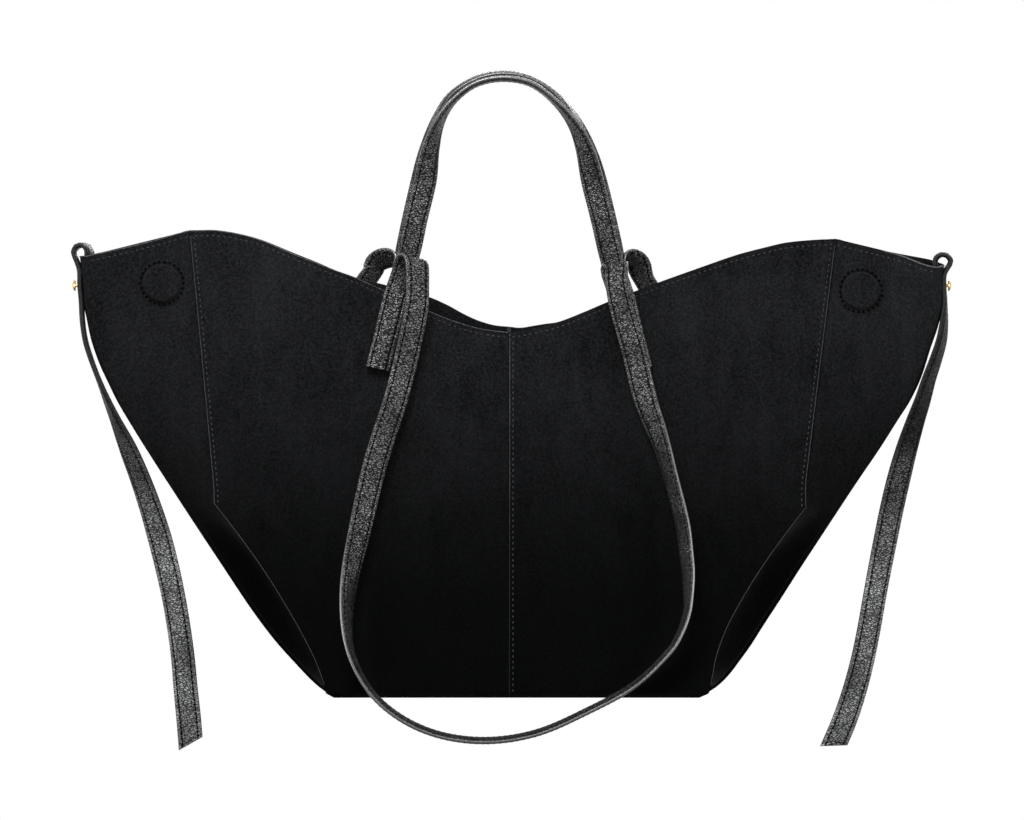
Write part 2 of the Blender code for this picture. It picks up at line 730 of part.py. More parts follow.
suede = material("suede", (0.010, 0.011, 0.012), 0.95)
leather = material("strap_leather", (0.018, 0.018, 0.019), 0.45)
brass = material("brass", (0.55, 0.38, 0.14), 0.28, 1.0)
steel = material("magnet_steel", (0.35, 0.35, 0.36), 0.40, 1.0)
fibreboard = material("fibreboard", (0.10, 0.09, 0.08), 0.85)

bag = empty_at("bag", (0, 0, -CARRY_Z))

for face_name, face in FACES.items():
    for side_name, side in SIDES.items():
        panel(f"{face_name}_{side_name}_panel", side, face)
base()

inner_zone = zone("gusset_zone", -1.0, -WING_FOLD_HALF - GAP / 2)
fold_zone = zone("fold_zone", -WING_FOLD_HALF + GAP / 2, WING_FOLD_HALF - GAP / 2)
wing_zone = zone("wing_zone", WING_FOLD_HALF + GAP / 2, 1.0)
for side_name in SIDES:
    wing(side_name, inner_zone, fold_zone, wing_zone)

for face_name, xz in (("front", FRONT_STRAP_ROUTE), ("rear", REAR_STRAP_ROUTE)):
    pivot = (0, FACES[face_name] * fold_centre(), FOLD_Z)
    for side_name in SIDES:
        tab_pieces(face_name, side_name, xz[0][0] if side_name == "left" else xz[-1][0])
    handle(face_name, empty_at(f"{face_name}_handle_axis", pivot, bag))
    long_strap(face_name, xz, empty_at(f"{face_name}_strap_axis", pivot, bag))

print(f"carry point over the base {CARRY_Z:.6f}")
print(f"fold axis y {fold_centre():.6f} z {FOLD_Z - CARRY_Z:.6f}")
print(f"stud x {fold_x(STUD_Z):.6f} z {STUD_Z - CARRY_Z:.6f}")
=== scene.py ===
# %% [markdown]
# # A slouchy suede tote bag
# The bag is black suede, with black pebbled leather straps. It hangs from its two short
# handles, and its sides are pinched into flat wings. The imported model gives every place
# and size. This lesson dresses it: fine sheets take the place of the plain solids.

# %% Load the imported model
import bisect
import math

import bmesh
import bpy
import numpy as np
from mathutils import Matrix, Vector, noise


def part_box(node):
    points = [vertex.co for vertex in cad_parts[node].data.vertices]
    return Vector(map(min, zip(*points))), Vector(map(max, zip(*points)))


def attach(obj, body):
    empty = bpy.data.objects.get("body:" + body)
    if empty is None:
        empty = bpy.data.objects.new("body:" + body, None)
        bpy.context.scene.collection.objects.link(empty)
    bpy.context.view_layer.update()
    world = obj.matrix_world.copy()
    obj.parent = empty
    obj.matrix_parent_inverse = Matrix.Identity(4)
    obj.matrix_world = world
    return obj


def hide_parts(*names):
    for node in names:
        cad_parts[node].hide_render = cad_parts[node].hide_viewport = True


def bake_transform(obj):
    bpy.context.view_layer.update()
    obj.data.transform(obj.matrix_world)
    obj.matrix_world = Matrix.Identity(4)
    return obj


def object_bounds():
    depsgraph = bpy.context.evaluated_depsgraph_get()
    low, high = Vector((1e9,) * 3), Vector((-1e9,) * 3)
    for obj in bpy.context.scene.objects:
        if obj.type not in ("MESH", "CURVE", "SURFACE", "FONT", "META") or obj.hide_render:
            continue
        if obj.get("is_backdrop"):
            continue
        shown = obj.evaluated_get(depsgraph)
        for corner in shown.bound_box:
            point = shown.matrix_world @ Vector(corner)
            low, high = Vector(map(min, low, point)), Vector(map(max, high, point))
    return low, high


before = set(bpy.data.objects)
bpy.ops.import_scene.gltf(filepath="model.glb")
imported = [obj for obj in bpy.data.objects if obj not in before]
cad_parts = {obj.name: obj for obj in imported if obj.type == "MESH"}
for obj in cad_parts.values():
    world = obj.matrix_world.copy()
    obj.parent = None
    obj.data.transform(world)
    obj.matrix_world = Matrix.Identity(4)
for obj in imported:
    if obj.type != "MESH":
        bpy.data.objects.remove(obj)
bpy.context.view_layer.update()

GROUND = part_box("base_panel")[0].z

# %% [markdown]
# ## Sizes
# All the heights below are over the bag's underside, because a bag is easier to think of
# from its base. They are moved down to the model's own origin, the carry point, at the
# very end of each piece. Lengths are in metres.

# %% Sizes of the bag
SUEDE = 0.0018
STRAP_WIDTH = 0.0148
LONG_WIDTH = 0.0160
TIE_WIDTH = 0.0163
STRAP_THICKNESS = 0.0030
STRAP_ROW = 0.0049
STITCH_PITCH = 0.0037
LAYER = 0.0033
BASE_HALF = 0.118
BASE_HALF_DEPTH = 0.068
BASE_ROUNDING = 0.0045
FULLER_FROM = 0.0531
SEAM_FOOT = (0.192, 0.124)
SEAM_TOP = (0.208, 0.301)
SEAM_TOP_X = {"left": 0.2092, "right": 0.2140}
SEAM_TOP_HALF_DEPTH = 0.008
TIP_X = 0.2825
TIP_Z = 0.2847
TIP_CORNER = 0.0045
WING_FLAT = 0.0056
WING_OPEN = 0.0220
RIM_ROW = 0.0036
RIM_DIP_Z = 0.237
RIM_DIP_HALF_DEPTH = 0.023
BELLY = 0.005
SIDES = {"left": -1, "right": 1}
FACES = {"front": -1, "rear": 1}

# %% [markdown]
# ## Curves through measured points
# The rims, the side folds and the straps are free curves. A cubic through a few points
# gives each one a smooth line without a corner at every point, which straight pieces
# would show. The points are in millimetres, first across or up and then the height or
# reach that the curve has there.

# %% A smooth curve through a few points
def curve(points):
    xs, ys = zip(*points)
    last = len(xs) - 1
    slopes = []
    for i in range(last + 1):
        a, b = max(i - 1, 0), min(i + 1, last)
        slopes.append((ys[b] - ys[a]) / (xs[b] - xs[a]))

    def read(x):
        x = min(max(x, xs[0]), xs[-1])
        i = min(bisect.bisect_right(xs, x) - 1, last - 1)
        h = xs[i + 1] - xs[i]
        t = (x - xs[i]) / h
        start = (1 + 2 * t) * (1 - t) ** 2 * ys[i] + t * (1 - t) ** 2 * h * slopes[i]
        stop = t * t * (3 - 2 * t) * ys[i + 1] + t * t * (t - 1) * h * slopes[i + 1]
        return start + stop

    return read


def mm(points):
    """Points given in millimetres, in metres."""
    return tuple((x / 1000, z / 1000) for x, z in points)


def ease(value, start, stop):
    t = min(1.0, max(0.0, (value - start) / (stop - start)))
    return t * t * (3 - 2 * t)


def bump(distance, width):
    return math.exp(-((distance / width) ** 2))


RIMS = {
    ("left", "front"): curve(mm((
        (0, 237.3), (18.9, 239.9), (36.4, 245), (52.7, 251.6), (81.3, 264.8), (100.3, 273.4),
        (112.5, 277.8), (122.9, 282), (141, 289.1), (160.6, 297.5), (175.5, 301.7), (190, 304),
        (199, 304.1), (208, 303.9),
    ))),
    ("right", "front"): curve(mm((
        (0, 237.3), (10.4, 238.9), (22.8, 241.8), (33, 244.6), (46.1, 249.9), (64, 257.7), (83, 265.3),
        (101, 272.2), (124, 280.6), (137, 285.3), (147.6, 288.8), (163.2, 292.9), (176, 295.9),
        (194.3, 297.7), (208, 298.3),
    ))),
    ("left", "rear"): curve(mm((
        (0, 241.3), (8.5, 242.1), (16.2, 244), (24.1, 247), (31.9, 250.9), (39.6, 255.2), (52.7, 260.9),
        (80, 268.4), (99.5, 273.3), (112.5, 277.9), (125, 283.3), (141, 289.7), (160.6, 297.7),
        (175.5, 301.8), (190, 304), (199, 304.1), (208, 303.9),
    ))),
    ("right", "rear"): curve(mm((
        (0, 241.3), (7.2, 240.6), (15, 241.8), (22.8, 243.1), (30.6, 244.2), (38.4, 246.8),
        (46.1, 249.8), (64, 257.2), (83, 264.6), (101, 271.5), (124, 280), (137, 284.7), (147.6, 288.3),
        (163.2, 292.6), (176, 295.7), (208, 298.2),
    ))),
}
TIP_TOPS = {"left": 0.2872, "right": 0.2815}
WING_RIMS = {
    ("left", "front"): curve(((0.0, 0.0), (0.5, -0.0009), (1.0, 0.0))),
    ("left", "rear"): curve(((0.0, 0.0), (1.0, 0.0))),
    ("right", "front"): curve((
        (0.0, 0.0), (0.60, 0.0), (0.75, -0.0012), (0.84, -0.0020), (0.92, -0.0022), (1.0, -0.0015),
    )),
    ("right", "rear"): curve((
        (0.0, 0.0), (0.45, 0.0003), (0.68, 0.0011), (0.80, 0.0016), (0.92, 0.0021), (1.0, 0.0020),
    )),
}
EXTRA = {
    "left": curve(mm((
        (0, 0), (24, -0.8), (43.6, 0.2), (63, 1), (102, 1.4), (141, 1.4), (160.6, 0.9), (180, 0.5),
        (193, 0.9), (206, 1.3), (219, 2.3), (232, 2.4), (245, 0.4), (256, -1.4), (264, -3.7),
        (271, -3.7), (290, -1.4),
    ))),
    "right": curve(mm((
        (0, 10), (4.6, 11), (15, 10), (24, 8), (43.6, 5.4), (63, 4.7), (102, 4), (141, 3.7),
        (160.6, 3.7), (180, 3.6), (193, 5), (209, 5.5), (229.8, 5), (242.3, 4.5), (256, 2.8),
        (270, 1.2), (280, 2), (286, 2.4),
    ))),
}
fold_x = curve((*mm((
    (0, 118), (12, 132.2), (36.4, 154.2), (89.1, 189.7), (135, 220), (180.5, 249.9), (206, 262.5),
    (229.5, 270.7), (245.1, 276.5), (263.4, 282.5),
)), (TIP_Z, TIP_X)))
print("rim at the dip", RIMS["left", "front"](0), "tip", fold_x(TIP_Z))


# %% [markdown]
# ## The body as a surface
# The real bag has four faces and two gussets, cut flat and sewn. Each is a sheet here:
# a grid whose points are moved onto a surface that is worked out from two numbers, how
# far across the sheet a point lies and how far up. The sheets share their edges, so the
# seams close. Modelling with points that follow a rule keeps the folds soft.

# %% Where the sheets lie
def seam_x(z, side_name="left"):
    if z < SEAM_FOOT[1]:
        t = z / SEAM_FOOT[1]
        return BASE_HALF + (SEAM_FOOT[0] - BASE_HALF) * t * (0.56 + 0.44 * t)
    t = (z - SEAM_FOOT[1]) / (SEAM_TOP[1] - SEAM_FOOT[1])
    return SEAM_FOOT[0] + (SEAM_TOP_X[side_name] - SEAM_FOOT[0]) * t


def seam_depth(z):
    left = max(0.0, 1 - z / SEAM_TOP[1])
    return SEAM_TOP_HALF_DEPTH + (BASE_HALF_DEPTH - SEAM_TOP_HALF_DEPTH) * left**2.3


def centre_depth(z):
    straight = BASE_HALF_DEPTH - (BASE_HALF_DEPTH - RIM_DIP_HALF_DEPTH) * z / RIM_DIP_Z
    t = min(1.0, max(0.0, z / RIM_DIP_Z))
    return straight + 4 * BELLY * t * (1 - t)


def panel_depth(x, z):
    across = min(1.0, abs(x) / seam_x(z))
    at_seam = seam_depth(z)
    return at_seam + (centre_depth(z) - at_seam) * math.cos(math.pi * across / 2) ** 2


def fold_depth(z):
    opening = max(0.0, (z / TIP_Z - 0.6) / 0.4)
    return (WING_FLAT + (WING_OPEN - WING_FLAT) * opening**1.5) / 2


def groove(distance, sink, width, swell, swell_at, swell_width):
    """How far a seam draws the suede in at its line, less the swell beside it."""
    return sink * bump(distance, width) - swell * bump(distance - swell_at, swell_width)


def rounded_base(point):
    """Draws the lowest few millimetres in, so that the bag's bottom edge is soft."""
    x, y, z = point
    if z < BASE_ROUNDING:
        drop = 1 - z / BASE_ROUNDING
        pull = BASE_ROUNDING * (1 - math.sqrt(max(0.0, 1 - drop * drop)))
        x *= 1 - pull / BASE_HALF
        y *= 1 - pull / BASE_HALF_DEPTH
    side = math.copysign(1, x)
    inner = FULLER_FROM + (seam_x(z) - FULLER_FROM) * ease(z, 0.05, 0.15)
    x += side * EXTRA["right" if side > 0 else "left"](z) * ease(abs(x), inner, fold_x(z))
    return Vector((x, y, z + GROUND))


print("half depth at the dip", round(centre_depth(RIM_DIP_Z), 4), "under it", round(centre_depth(0), 4))

# %% [markdown]
# ## Slack in the suede
# Soft leather never hangs true. A low, broad noise gives each face its own slack, and a
# drag fold runs in from the foot of each wing seam, where the wing pulls on the face.

# %% How the suede sags and folds
# A groove's depth and width, then the swell beside it: its height, distance and width.
CENTRE_GROOVE = (0.0010, 0.0009, 0.0006, 0.0024, 0.0016)
FACE_GROOVE = (0.0007, 0.0011, 0.0006, 0.0040, 0.0020)
WING_GROOVE = (0.0013, 0.0016, 0.0006, 0.0040, 0.0020)
RIM_GROOVE = (0.0004, 0.0011)
DRAG_FOLDS = ((-0.95, 0.085, 0.0022), (-0.30, 0.060, 0.0013))
BROAD_SLACK = 0.0026
SMALL_SLACK = 0.0009
WING_WAVE = 0.0014
TUCK_IN = 0.0100
TUCK_BACK = 0.0060
CORNER_FROM = 0.88


def slack(x, z, face):
    broad = noise.noise(Vector((x * 11, z * 8, face * 4.7)))
    small = noise.noise(Vector((x * 30, z * 22, face * 9.1)))
    return BROAD_SLACK * broad + SMALL_SLACK * small


def drag_folds(x, z):
    """Soft ridges that run inward and down from the foot of a wing seam."""
    total = 0.0
    for slope, length, height in DRAG_FOLDS:
        run = SEAM_FOOT[0] - abs(x)
        along = run / length
        if 0 < along < 1:
            off = z - (SEAM_FOOT[1] + slope * run)
            total += height * bump(off, 0.010) * math.sin(math.pi * along) ** 1.5
    return total


# %% [markdown]
# A face is told by how far out it stands at each place. That is the plain bow of the bag,
# with the slack and the drag folds added, less what the seams and rows draw in.

# %% The surface of a face
def face_point(side_name, face_name, a, v):
    """A point of a front or rear face: a runs from the centre seam to the wing seam."""
    side, face = SIDES[side_name], FACES[face_name]
    seam_z = v * SEAM_TOP[1]
    half = seam_x(seam_z, side_name)
    x = a * half
    rim = RIMS[side_name, face_name](a * SEAM_TOP[0])
    z = v * rim
    depth = panel_depth(x, z)
    loose = ease(a, 0, 0.15) * ease(1 - a, 0, 0.15) * ease(z, 0, 0.05) * ease(rim - z, 0, 0.04)
    depth += loose * slack(side * x, z, face) + ease(1 - a, 0, 0.08) * drag_folds(x, z)
    to_seam = half - x
    if seam_z > SEAM_FOOT[1]:
        depth -= groove(to_seam, *FACE_GROOVE)
    else:
        depth += 0.0010 * bump(to_seam - 0.0030, 0.0040)
    depth -= groove(x, *CENTRE_GROOVE)
    depth -= RIM_GROOVE[0] * bump(rim - z - RIM_ROW, RIM_GROOVE[1])
    return rounded_base((side * x, face * depth, z))


# %% [markdown]
# A gusset and its wing are one piece of suede. It runs from the front seam round the outer
# edge to the rear seam. Low down it tucks in behind a crease, as a paper bag's side does.

# %% The surface of a gusset and wing
def tuck(z):
    """How much a gusset tucks in behind its crease at a height."""
    return ease(z, 0.0, 0.03) * (1 - ease(z, 0.085, 0.135))


def side_point(side_name, t, v):
    """A point of a gusset and wing: t runs from the front seam, -1, round to the rear, 1."""
    side, face = SIDES[side_name], math.copysign(1, t)
    seam_z, edge_z = v * SEAM_TOP[1], v * TIP_Z
    start_z = v * RIMS[side_name, "front"](SEAM_TOP[0])
    stop_z = v * TIP_TOPS[side_name]
    start = (seam_x(seam_z, side_name), seam_depth(seam_z))
    deep = fold_depth(edge_z)
    corner = min(deep, TIP_CORNER)
    out = 1 - abs(t)
    share = min(1.0, out / CORNER_FROM)
    x = start[0] + (fold_x(edge_z) - corner - start[0]) * share
    y = start[1] + (deep - start[1]) * share
    z = start_z + (stop_z - start_z) * share
    turn = (out - CORNER_FROM) / (1 - CORNER_FROM)
    face_name = "front" if face < 0 else "rear"
    z += WING_RIMS[side_name, face_name](share) * min(1.0, 1 - turn) * v**5
    if turn > 0:
        angle = min(1.0, turn) * math.pi / 2
        x = fold_x(edge_z) - corner + corner * math.sin(angle) ** 0.8
        y = deep * math.cos(angle) ** 0.8 if turn < 1 else 0.0
    inward = math.sin(math.pi * min(1.0, share * 1.05)) if share < 0.95 else 0.0
    fold_in = tuck(z) * max(0.0, inward)
    x -= TUCK_IN * fold_in
    y -= TUCK_BACK * fold_in
    wave = noise.noise(Vector((side * x * 16, z * 12, face * 6.3)))
    fade = math.sin(math.pi * share) * ease(v, 0.1, 0.3)
    y += WING_WAVE * wave * fade
    if seam_z > SEAM_FOOT[1]:
        y -= groove(x - start[0], *WING_GROOVE)
    y -= RIM_GROOVE[0] * bump((1 - v) * TIP_Z - RIM_ROW, RIM_GROOVE[1]) * (share < 0.98)
    return rounded_base((side * x, face * max(0.0, y), z))


# %% [markdown]
# ## Finishes
# Suede is leather with its nap raised: no gloss, a velvety edge light, and soft patches
# where the nap lies another way. The straps are pebbled leather with a low gloss. The
# patterns are worked out by nodes, so that they stay sharp however near the camera is.

# %% A few helpers for building materials
def new_material(name, roughness, metallic=0.0):
    made = bpy.data.materials.new(name)
    made.use_nodes = True
    nodes = made.node_tree.nodes
    shader = nodes["Principled BSDF"]
    shader.inputs["Roughness"].default_value = roughness
    shader.inputs["Metallic"].default_value = metallic
    return made, shader


def node(made, kind, values=None, **settings):
    """A node with its sockets set from values, and its properties from the rest."""
    new = made.node_tree.nodes.new(kind)
    for key, value in settings.items():
        setattr(new, key, value)
    for key, value in (values or {}).items():
        new.inputs[key].default_value = value
    return new


def join(made, source, target):
    made.node_tree.links.new(source, target)


def coordinates(made, output="Object", scale=(1, 1, 1), turn=0.0, tilt=0.0):
    source = node(made, "ShaderNodeTexCoord")
    mapping = node(made, "ShaderNodeMapping", {"Scale": scale, "Rotation": (tilt, 0, turn)})
    join(made, source.outputs[output], mapping.inputs["Vector"])
    return mapping.outputs["Vector"]


def noise_at(made, vector, scale, detail=3.0, roughness=0.55, distortion=0.0):
    texture = node(made, "ShaderNodeTexNoise", {
        "Scale": scale, "Detail": detail, "Roughness": roughness, "Distortion": distortion,
    })
    join(made, vector, texture.inputs["Vector"])
    return texture.outputs["Fac"]


def spread(made, value, low, high, to_low=0.0, to_high=1.0):
    """Stretches a range of values to another, and holds it at the ends."""
    stretch = node(made, "ShaderNodeMapRange", {
        "From Min": low, "From Max": high, "To Min": to_low, "To Max": to_high,
    })
    join(made, value, stretch.inputs["Value"])
    return stretch.outputs["Result"]


def maths(made, operation, a, b):
    new = node(made, "ShaderNodeMath", operation=operation)
    for value, socket in ((a, new.inputs[0]), (b, new.inputs[1])):
        if isinstance(value, (int, float)):
            socket.default_value = value
        else:
            join(made, value, socket)
    return new.outputs[0]


def weighted(made, *parts):
    """The sum of values, each times its weight."""
    shares = [maths(made, "MULTIPLY", value, weight) for value, weight in parts]
    total = shares[0]
    for share in shares[1:]:
        total = maths(made, "ADD", total, share)
    return total


def mixed(made, factor, dark, light):
    """A colour between two, by a factor."""
    new = node(made, "ShaderNodeMix", data_type="RGBA")
    for value, socket in ((factor, new.inputs[0]), (dark, new.inputs[6]), (light, new.inputs[7])):
        if isinstance(value, tuple):
            socket.default_value = (*value, 1.0)
        else:
            join(made, value, socket)
    return new.outputs[2]


def bumped(made, shader, height, distance, strength=1.0):
    new = node(made, "ShaderNodeBump", {"Strength": strength, "Distance": distance})
    join(made, height, new.inputs["Height"])
    join(made, new.outputs["Normal"], shader.inputs["Normal"])


def mottled(name, rough, scale, dark, light, stretch=(1, 1, 1), metallic=0.0, **shape):
    """A material whose colour is worked out from one noise, and that noise."""
    made, shader = new_material(name, rough, metallic)
    pattern = noise_at(made, coordinates(made, scale=stretch), scale, **{"detail": 2.0, **shape})
    join(made, mixed(made, pattern, dark, light), shader.inputs["Base Color"])
    return made, shader, pattern


# %% [markdown]
# ## Suede
# Four noises do the work. A broad one makes patches of lighter and darker nap, a middle
# one breaks them up, a fine one is the nap itself, which also gives the bump, and the
# finest leaves a few light hairs. Low on the bag the colour is painted darker: painted
# shade, for the light that falls off towards the bottom.

# %% The suede and its raw edge
# Painted shade: the suede's colour is darkest below the lower height and full above the higher one.
PAINTED_SHADE_HEIGHTS = (GROUND + 0.05, GROUND + 0.27)
PAINTED_SHADE_LOWEST = 0.09
PATCH_SCALE = 13
CLOUD_SCALE = 75
NAP_SCALE = 620
HAIR_SCALE = 2300
NAP_DEPTH = 0.00030


def make_suede(name, dark, light, sheen):
    made, shader = new_material(name, 0.92)
    shader.inputs["Specular IOR Level"].default_value = 0.02
    shader.inputs["Sheen Weight"].default_value = sheen
    shader.inputs["Sheen Roughness"].default_value = 0.45
    place = coordinates(made)
    streaks = coordinates(made, scale=(1.0, 1.0, 0.28), turn=0.5)
    tilted = coordinates(made, turn=0.7, tilt=0.6)
    patches = spread(made, noise_at(made, place, PATCH_SCALE, 4.0, 0.60, 0.6), 0.33, 0.68)
    clouds = spread(made, noise_at(made, streaks, CLOUD_SCALE, 4.0, 0.65, 0.4), 0.30, 0.70)
    nap = spread(made, noise_at(made, tilted, NAP_SCALE, 3.0, 0.80), 0.40, 0.60)
    hairs = spread(made, noise_at(made, tilted, HAIR_SCALE, 1.0, 0.5), 0.62, 0.78)
    tone = weighted(made, (patches, 0.24), (clouds, 0.26), (nap, 0.50), (hairs, 0.45))
    # Painted shade: the colour darkens towards the bottom of the bag, for the light that falls off there.
    up = node(made, "ShaderNodeSeparateXYZ")
    join(made, place, up.inputs["Vector"])
    painted_shade = spread(made, up.outputs["Z"], *PAINTED_SHADE_HEIGHTS, PAINTED_SHADE_LOWEST, 1.0)
    painted_shade.node.interpolation_type = "SMOOTHSTEP"
    tone = maths(made, "MULTIPLY", tone, painted_shade)
    join(made, mixed(made, tone, dark, light), shader.inputs["Base Color"])
    bumped(made, shader, weighted(made, (nap, 1.0), (clouds, 1.4)), NAP_DEPTH, 0.8)
    return made


suede = make_suede("black_suede", (0.0004, 0.0005, 0.0006), (0.0182, 0.0189, 0.0203), 0.03)
raw_edge = make_suede("suede_cut_edge", (0.015, 0.016, 0.017), (0.150, 0.153, 0.158), 0.0)
print("suede patches of", round(1 / PATCH_SCALE, 3), "m, nap of", round(1 / NAP_SCALE, 4), "m")

# %% [markdown]
# ## Strap leather
# The grain is small raised pebbles, a little wider across the strap than along it, in a net
# of creases that are painted dark: painted shade. The pattern reads the strap's own UV map,
# which is in metres along and across, so it bends with the strap. Broad patches are smoother
# and painted paler, a painted sheen. The ties are painted far paler still, a painted
# highlight, with painted shade near their tops. Each stitched row is painted dark as well:
# the black thread and painted shade in its groove.

# %% The strap leather
PEBBLE_SCALE = 800.0
FINE_SCALE = 1250.0
PEBBLE_HEIGHT = 0.00080
ROW_HALF_WIDTH = 0.0006
# How dark the painted shade on a tie's top stretch is.
TOP_SHADE = 0.12


def wandering(made, flat):
    """Places on a strap moved about by a noise, so that no cell has a straight side."""
    drift = node(made, "ShaderNodeTexNoise", {"Scale": 230.0, "Detail": 2.0})
    warp = node(made, "ShaderNodeVectorMath", operation="MULTIPLY_ADD")
    warp.inputs[1].default_value = (0.0014, 0.0014, 0.0)
    join(made, flat, drift.inputs["Vector"])
    join(made, drift.outputs["Color"], warp.inputs[0])
    join(made, flat, warp.inputs[2])
    return warp.outputs[0]


def raised_cells(made, vector, scale, across, low, high):
    """Cells that stand up between thin creases. A low across makes them wider across."""
    stretch = node(made, "ShaderNodeMapping", {"Scale": (1.0, across, 1.0)})
    join(made, vector, stretch.inputs["Vector"])
    cells = node(made, "ShaderNodeTexVoronoi", {"Scale": scale}, feature="DISTANCE_TO_EDGE")
    join(made, stretch.outputs["Vector"], cells.inputs["Vector"])
    return spread(made, cells.outputs["Distance"], low, high)


def make_leather(name, dark, light, roughness, top_shade_span=None):
    made, shader = new_material(name, roughness)
    flat = coordinates(made, "UV")
    place = node(made, "ShaderNodeSeparateXYZ")
    join(made, flat, place.inputs["Vector"])
    from_middle = maths(made, "ABSOLUTE", place.outputs["Y"], 0.0)
    # The colour goes dark along each stitched row, in dashes: partly the black thread, partly painted
    # shade in the groove.
    from_row = maths(made, "ABSOLUTE", maths(made, "SUBTRACT", from_middle, STRAP_ROW), 0.0)
    turns = maths(made, "MULTIPLY", place.outputs["X"], 2 * math.pi / STITCH_PITCH)
    from_row = weighted(made, (from_row, 1.0), (maths(made, "SINE", turns, 0.0), 0.00022))
    thread_and_groove_shade = spread(made, from_row, 0.00020, 0.00070)
    inside = spread(made, from_middle, STRAP_ROW - ROW_HALF_WIDTH, STRAP_ROW + ROW_HALF_WIDTH, 1.0, 0.35)
    grain = wandering(made, flat)
    pebbles = raised_cells(made, grain, PEBBLE_SCALE, 0.55, 0.02, 0.15)
    fine = raised_cells(made, grain, FINE_SCALE, 0.80, 0.02, 0.30)
    # Painted sheen: broad patches are painted paler, and they are made glossier too.
    sheen_patches = spread(made, noise_at(made, flat, 34, 3.0, 0.6), 0.36, 0.64, 0.45, 1.0)
    bumped(made, shader, weighted(made, (pebbles, inside), (fine, 0.12)), PEBBLE_HEIGHT)
    # Painted shade: the colour is darkest in the creases between the pebbles.
    tone = maths(made, "ADD", weighted(made, (pebbles, 0.85), (fine, 0.15)), 0.08)
    factors = [sheen_patches, thread_and_groove_shade]
    # Painted shade on a tie's top stretch, which fades out along it.
    if top_shade_span:
        factors.append(spread(made, place.outputs["X"], *top_shade_span, TOP_SHADE, 1.0))
    for factor in factors:
        tone = maths(made, "MULTIPLY", tone, factor)
    gloss = spread(made, sheen_patches, 0.55, 1.0, roughness + 0.08, roughness - 0.04)
    join(made, mixed(made, tone, dark, light), shader.inputs["Base Color"])
    join(made, spread(made, tone, 0.05, 0.85, 0.04, 1.0), shader.inputs["Specular IOR Level"])
    join(made, gloss, shader.inputs["Roughness"])
    return made


# The darkest colour, painted shade in the creases.
CREASE_SHADE = (0.0006, 0.0006, 0.0007)
leather = make_leather("pebbled_leather", CREASE_SHADE, (0.0400, 0.0407, 0.0420), 0.32)
handle_leather = make_leather("handle_leather", CREASE_SHADE, (0.0270, 0.0275, 0.0285), 0.34)
# The ties are painted far paler than the other straps: painted highlight, for the broad gloss that they
# catch.
tie_leather = make_leather(
    "tie_leather_painted_highlight", (0.0008, 0.0008, 0.0009), (0.2600, 0.2640, 0.2700), 0.28, top_shade_span=(0.15, 0.25),
)
print("pebbles of", round(1000 / PEBBLE_SCALE, 2), "mm, a stitch every", 1000 * STITCH_PITCH, "mm")

# %% [markdown]
# The cut edge of a strap is sealed with black paint, which hides the grain. The threads
# are black too, but the one in the suede is paler than the nap round it.

# %% Painted edges and threads
def make_edge(name, roughness, shine):
    made, shader, paint = mottled(name, roughness, 700, (0.0030, 0.0031, 0.0032), (0.0120, 0.0122, 0.0126))
    shader.inputs["IOR"].default_value = 1.6
    shader.inputs["Specular IOR Level"].default_value = shine
    bumped(made, shader, paint, 0.00012)
    return made


painted_edge = make_edge("painted_strap_edge", 0.32, 1.0)
dull_edge = make_edge("painted_tie_edge", 0.60, 0.15)


def make_thread(name, dark, light, shine=0.08):
    made, shader = new_material(name, 0.60)
    shader.inputs["Specular IOR Level"].default_value = shine
    twist = spread(made, noise_at(made, coordinates(made), 1500, 2.0), 0.3, 0.7)
    join(made, mixed(made, twist, dark, light), shader.inputs["Base Color"])
    return made


suede_thread = make_thread("suede_thread", (0.018, 0.018, 0.020), (0.070, 0.072, 0.076))
strap_thread = make_thread("strap_thread", (0.0015, 0.0016, 0.0018), (0.0080, 0.0082, 0.0090))
# The patch's thread is near black and has no gloss: painted shade, for the shadowed holes that it lies in.
patch_thread_painted_shade = make_thread("patch_thread_painted_shade", (0.0002, 0.0002, 0.0002), (0.0012, 0.0012, 0.0013), 0.0)

# %% [markdown]
# ## The small hard parts
# The studs are brass with the fine rings that turning leaves. The magnets and the
# stiffening board are hidden or nearly so, but a shared part can be opened up, so they
# get finishes of their own.

# %% Brass, magnet steel and fibreboard
brass, brass_shader, rings = mottled(
    "turned_brass", 0.24, 420, (0.52, 0.33, 0.11), (0.80, 0.58, 0.25), (1.0, 9.0, 9.0), metallic=1.0,
)
join(brass, spread(brass, rings, 0.3, 0.7, 0.16, 0.34), brass_shader.inputs["Roughness"])
steel, *_ = mottled(
    "plated_magnet", 0.35, 160, (0.28, 0.28, 0.29), (0.46, 0.46, 0.47), (1.0, 1.0, 14.0), metallic=1.0,
    detail=3.0,
)
board, board_shader, fibres = mottled(
    "pressed_fibreboard", 0.85, 520, (0.045, 0.040, 0.035), (0.150, 0.135, 0.115), (1.0, 0.3, 1.0),
    detail=5.0, roughness=0.7,
)
bumped(board, board_shader, fibres, 0.0004)

# %% [markdown]
# ## From points to a finished sheet
# Each sheet starts as a flat grid, is moved onto its surface, and then gets the suede's
# thickness inward with a Solidify modifier. The thickness at the rim takes the paler cut
# edge. Stitches are added last, as small grains of thread that lie on the surface.

# %% Making an object out of a mesh
def finished(name, bm, materials):
    mesh = bpy.data.meshes.new(name)
    bm.to_mesh(mesh)
    bm.free()
    for finish in materials:
        mesh.materials.append(finish)
    for polygon in mesh.polygons:
        polygon.use_smooth = True
    obj = bpy.data.objects.new(name, mesh)
    bpy.context.scene.collection.objects.link(obj)
    return obj


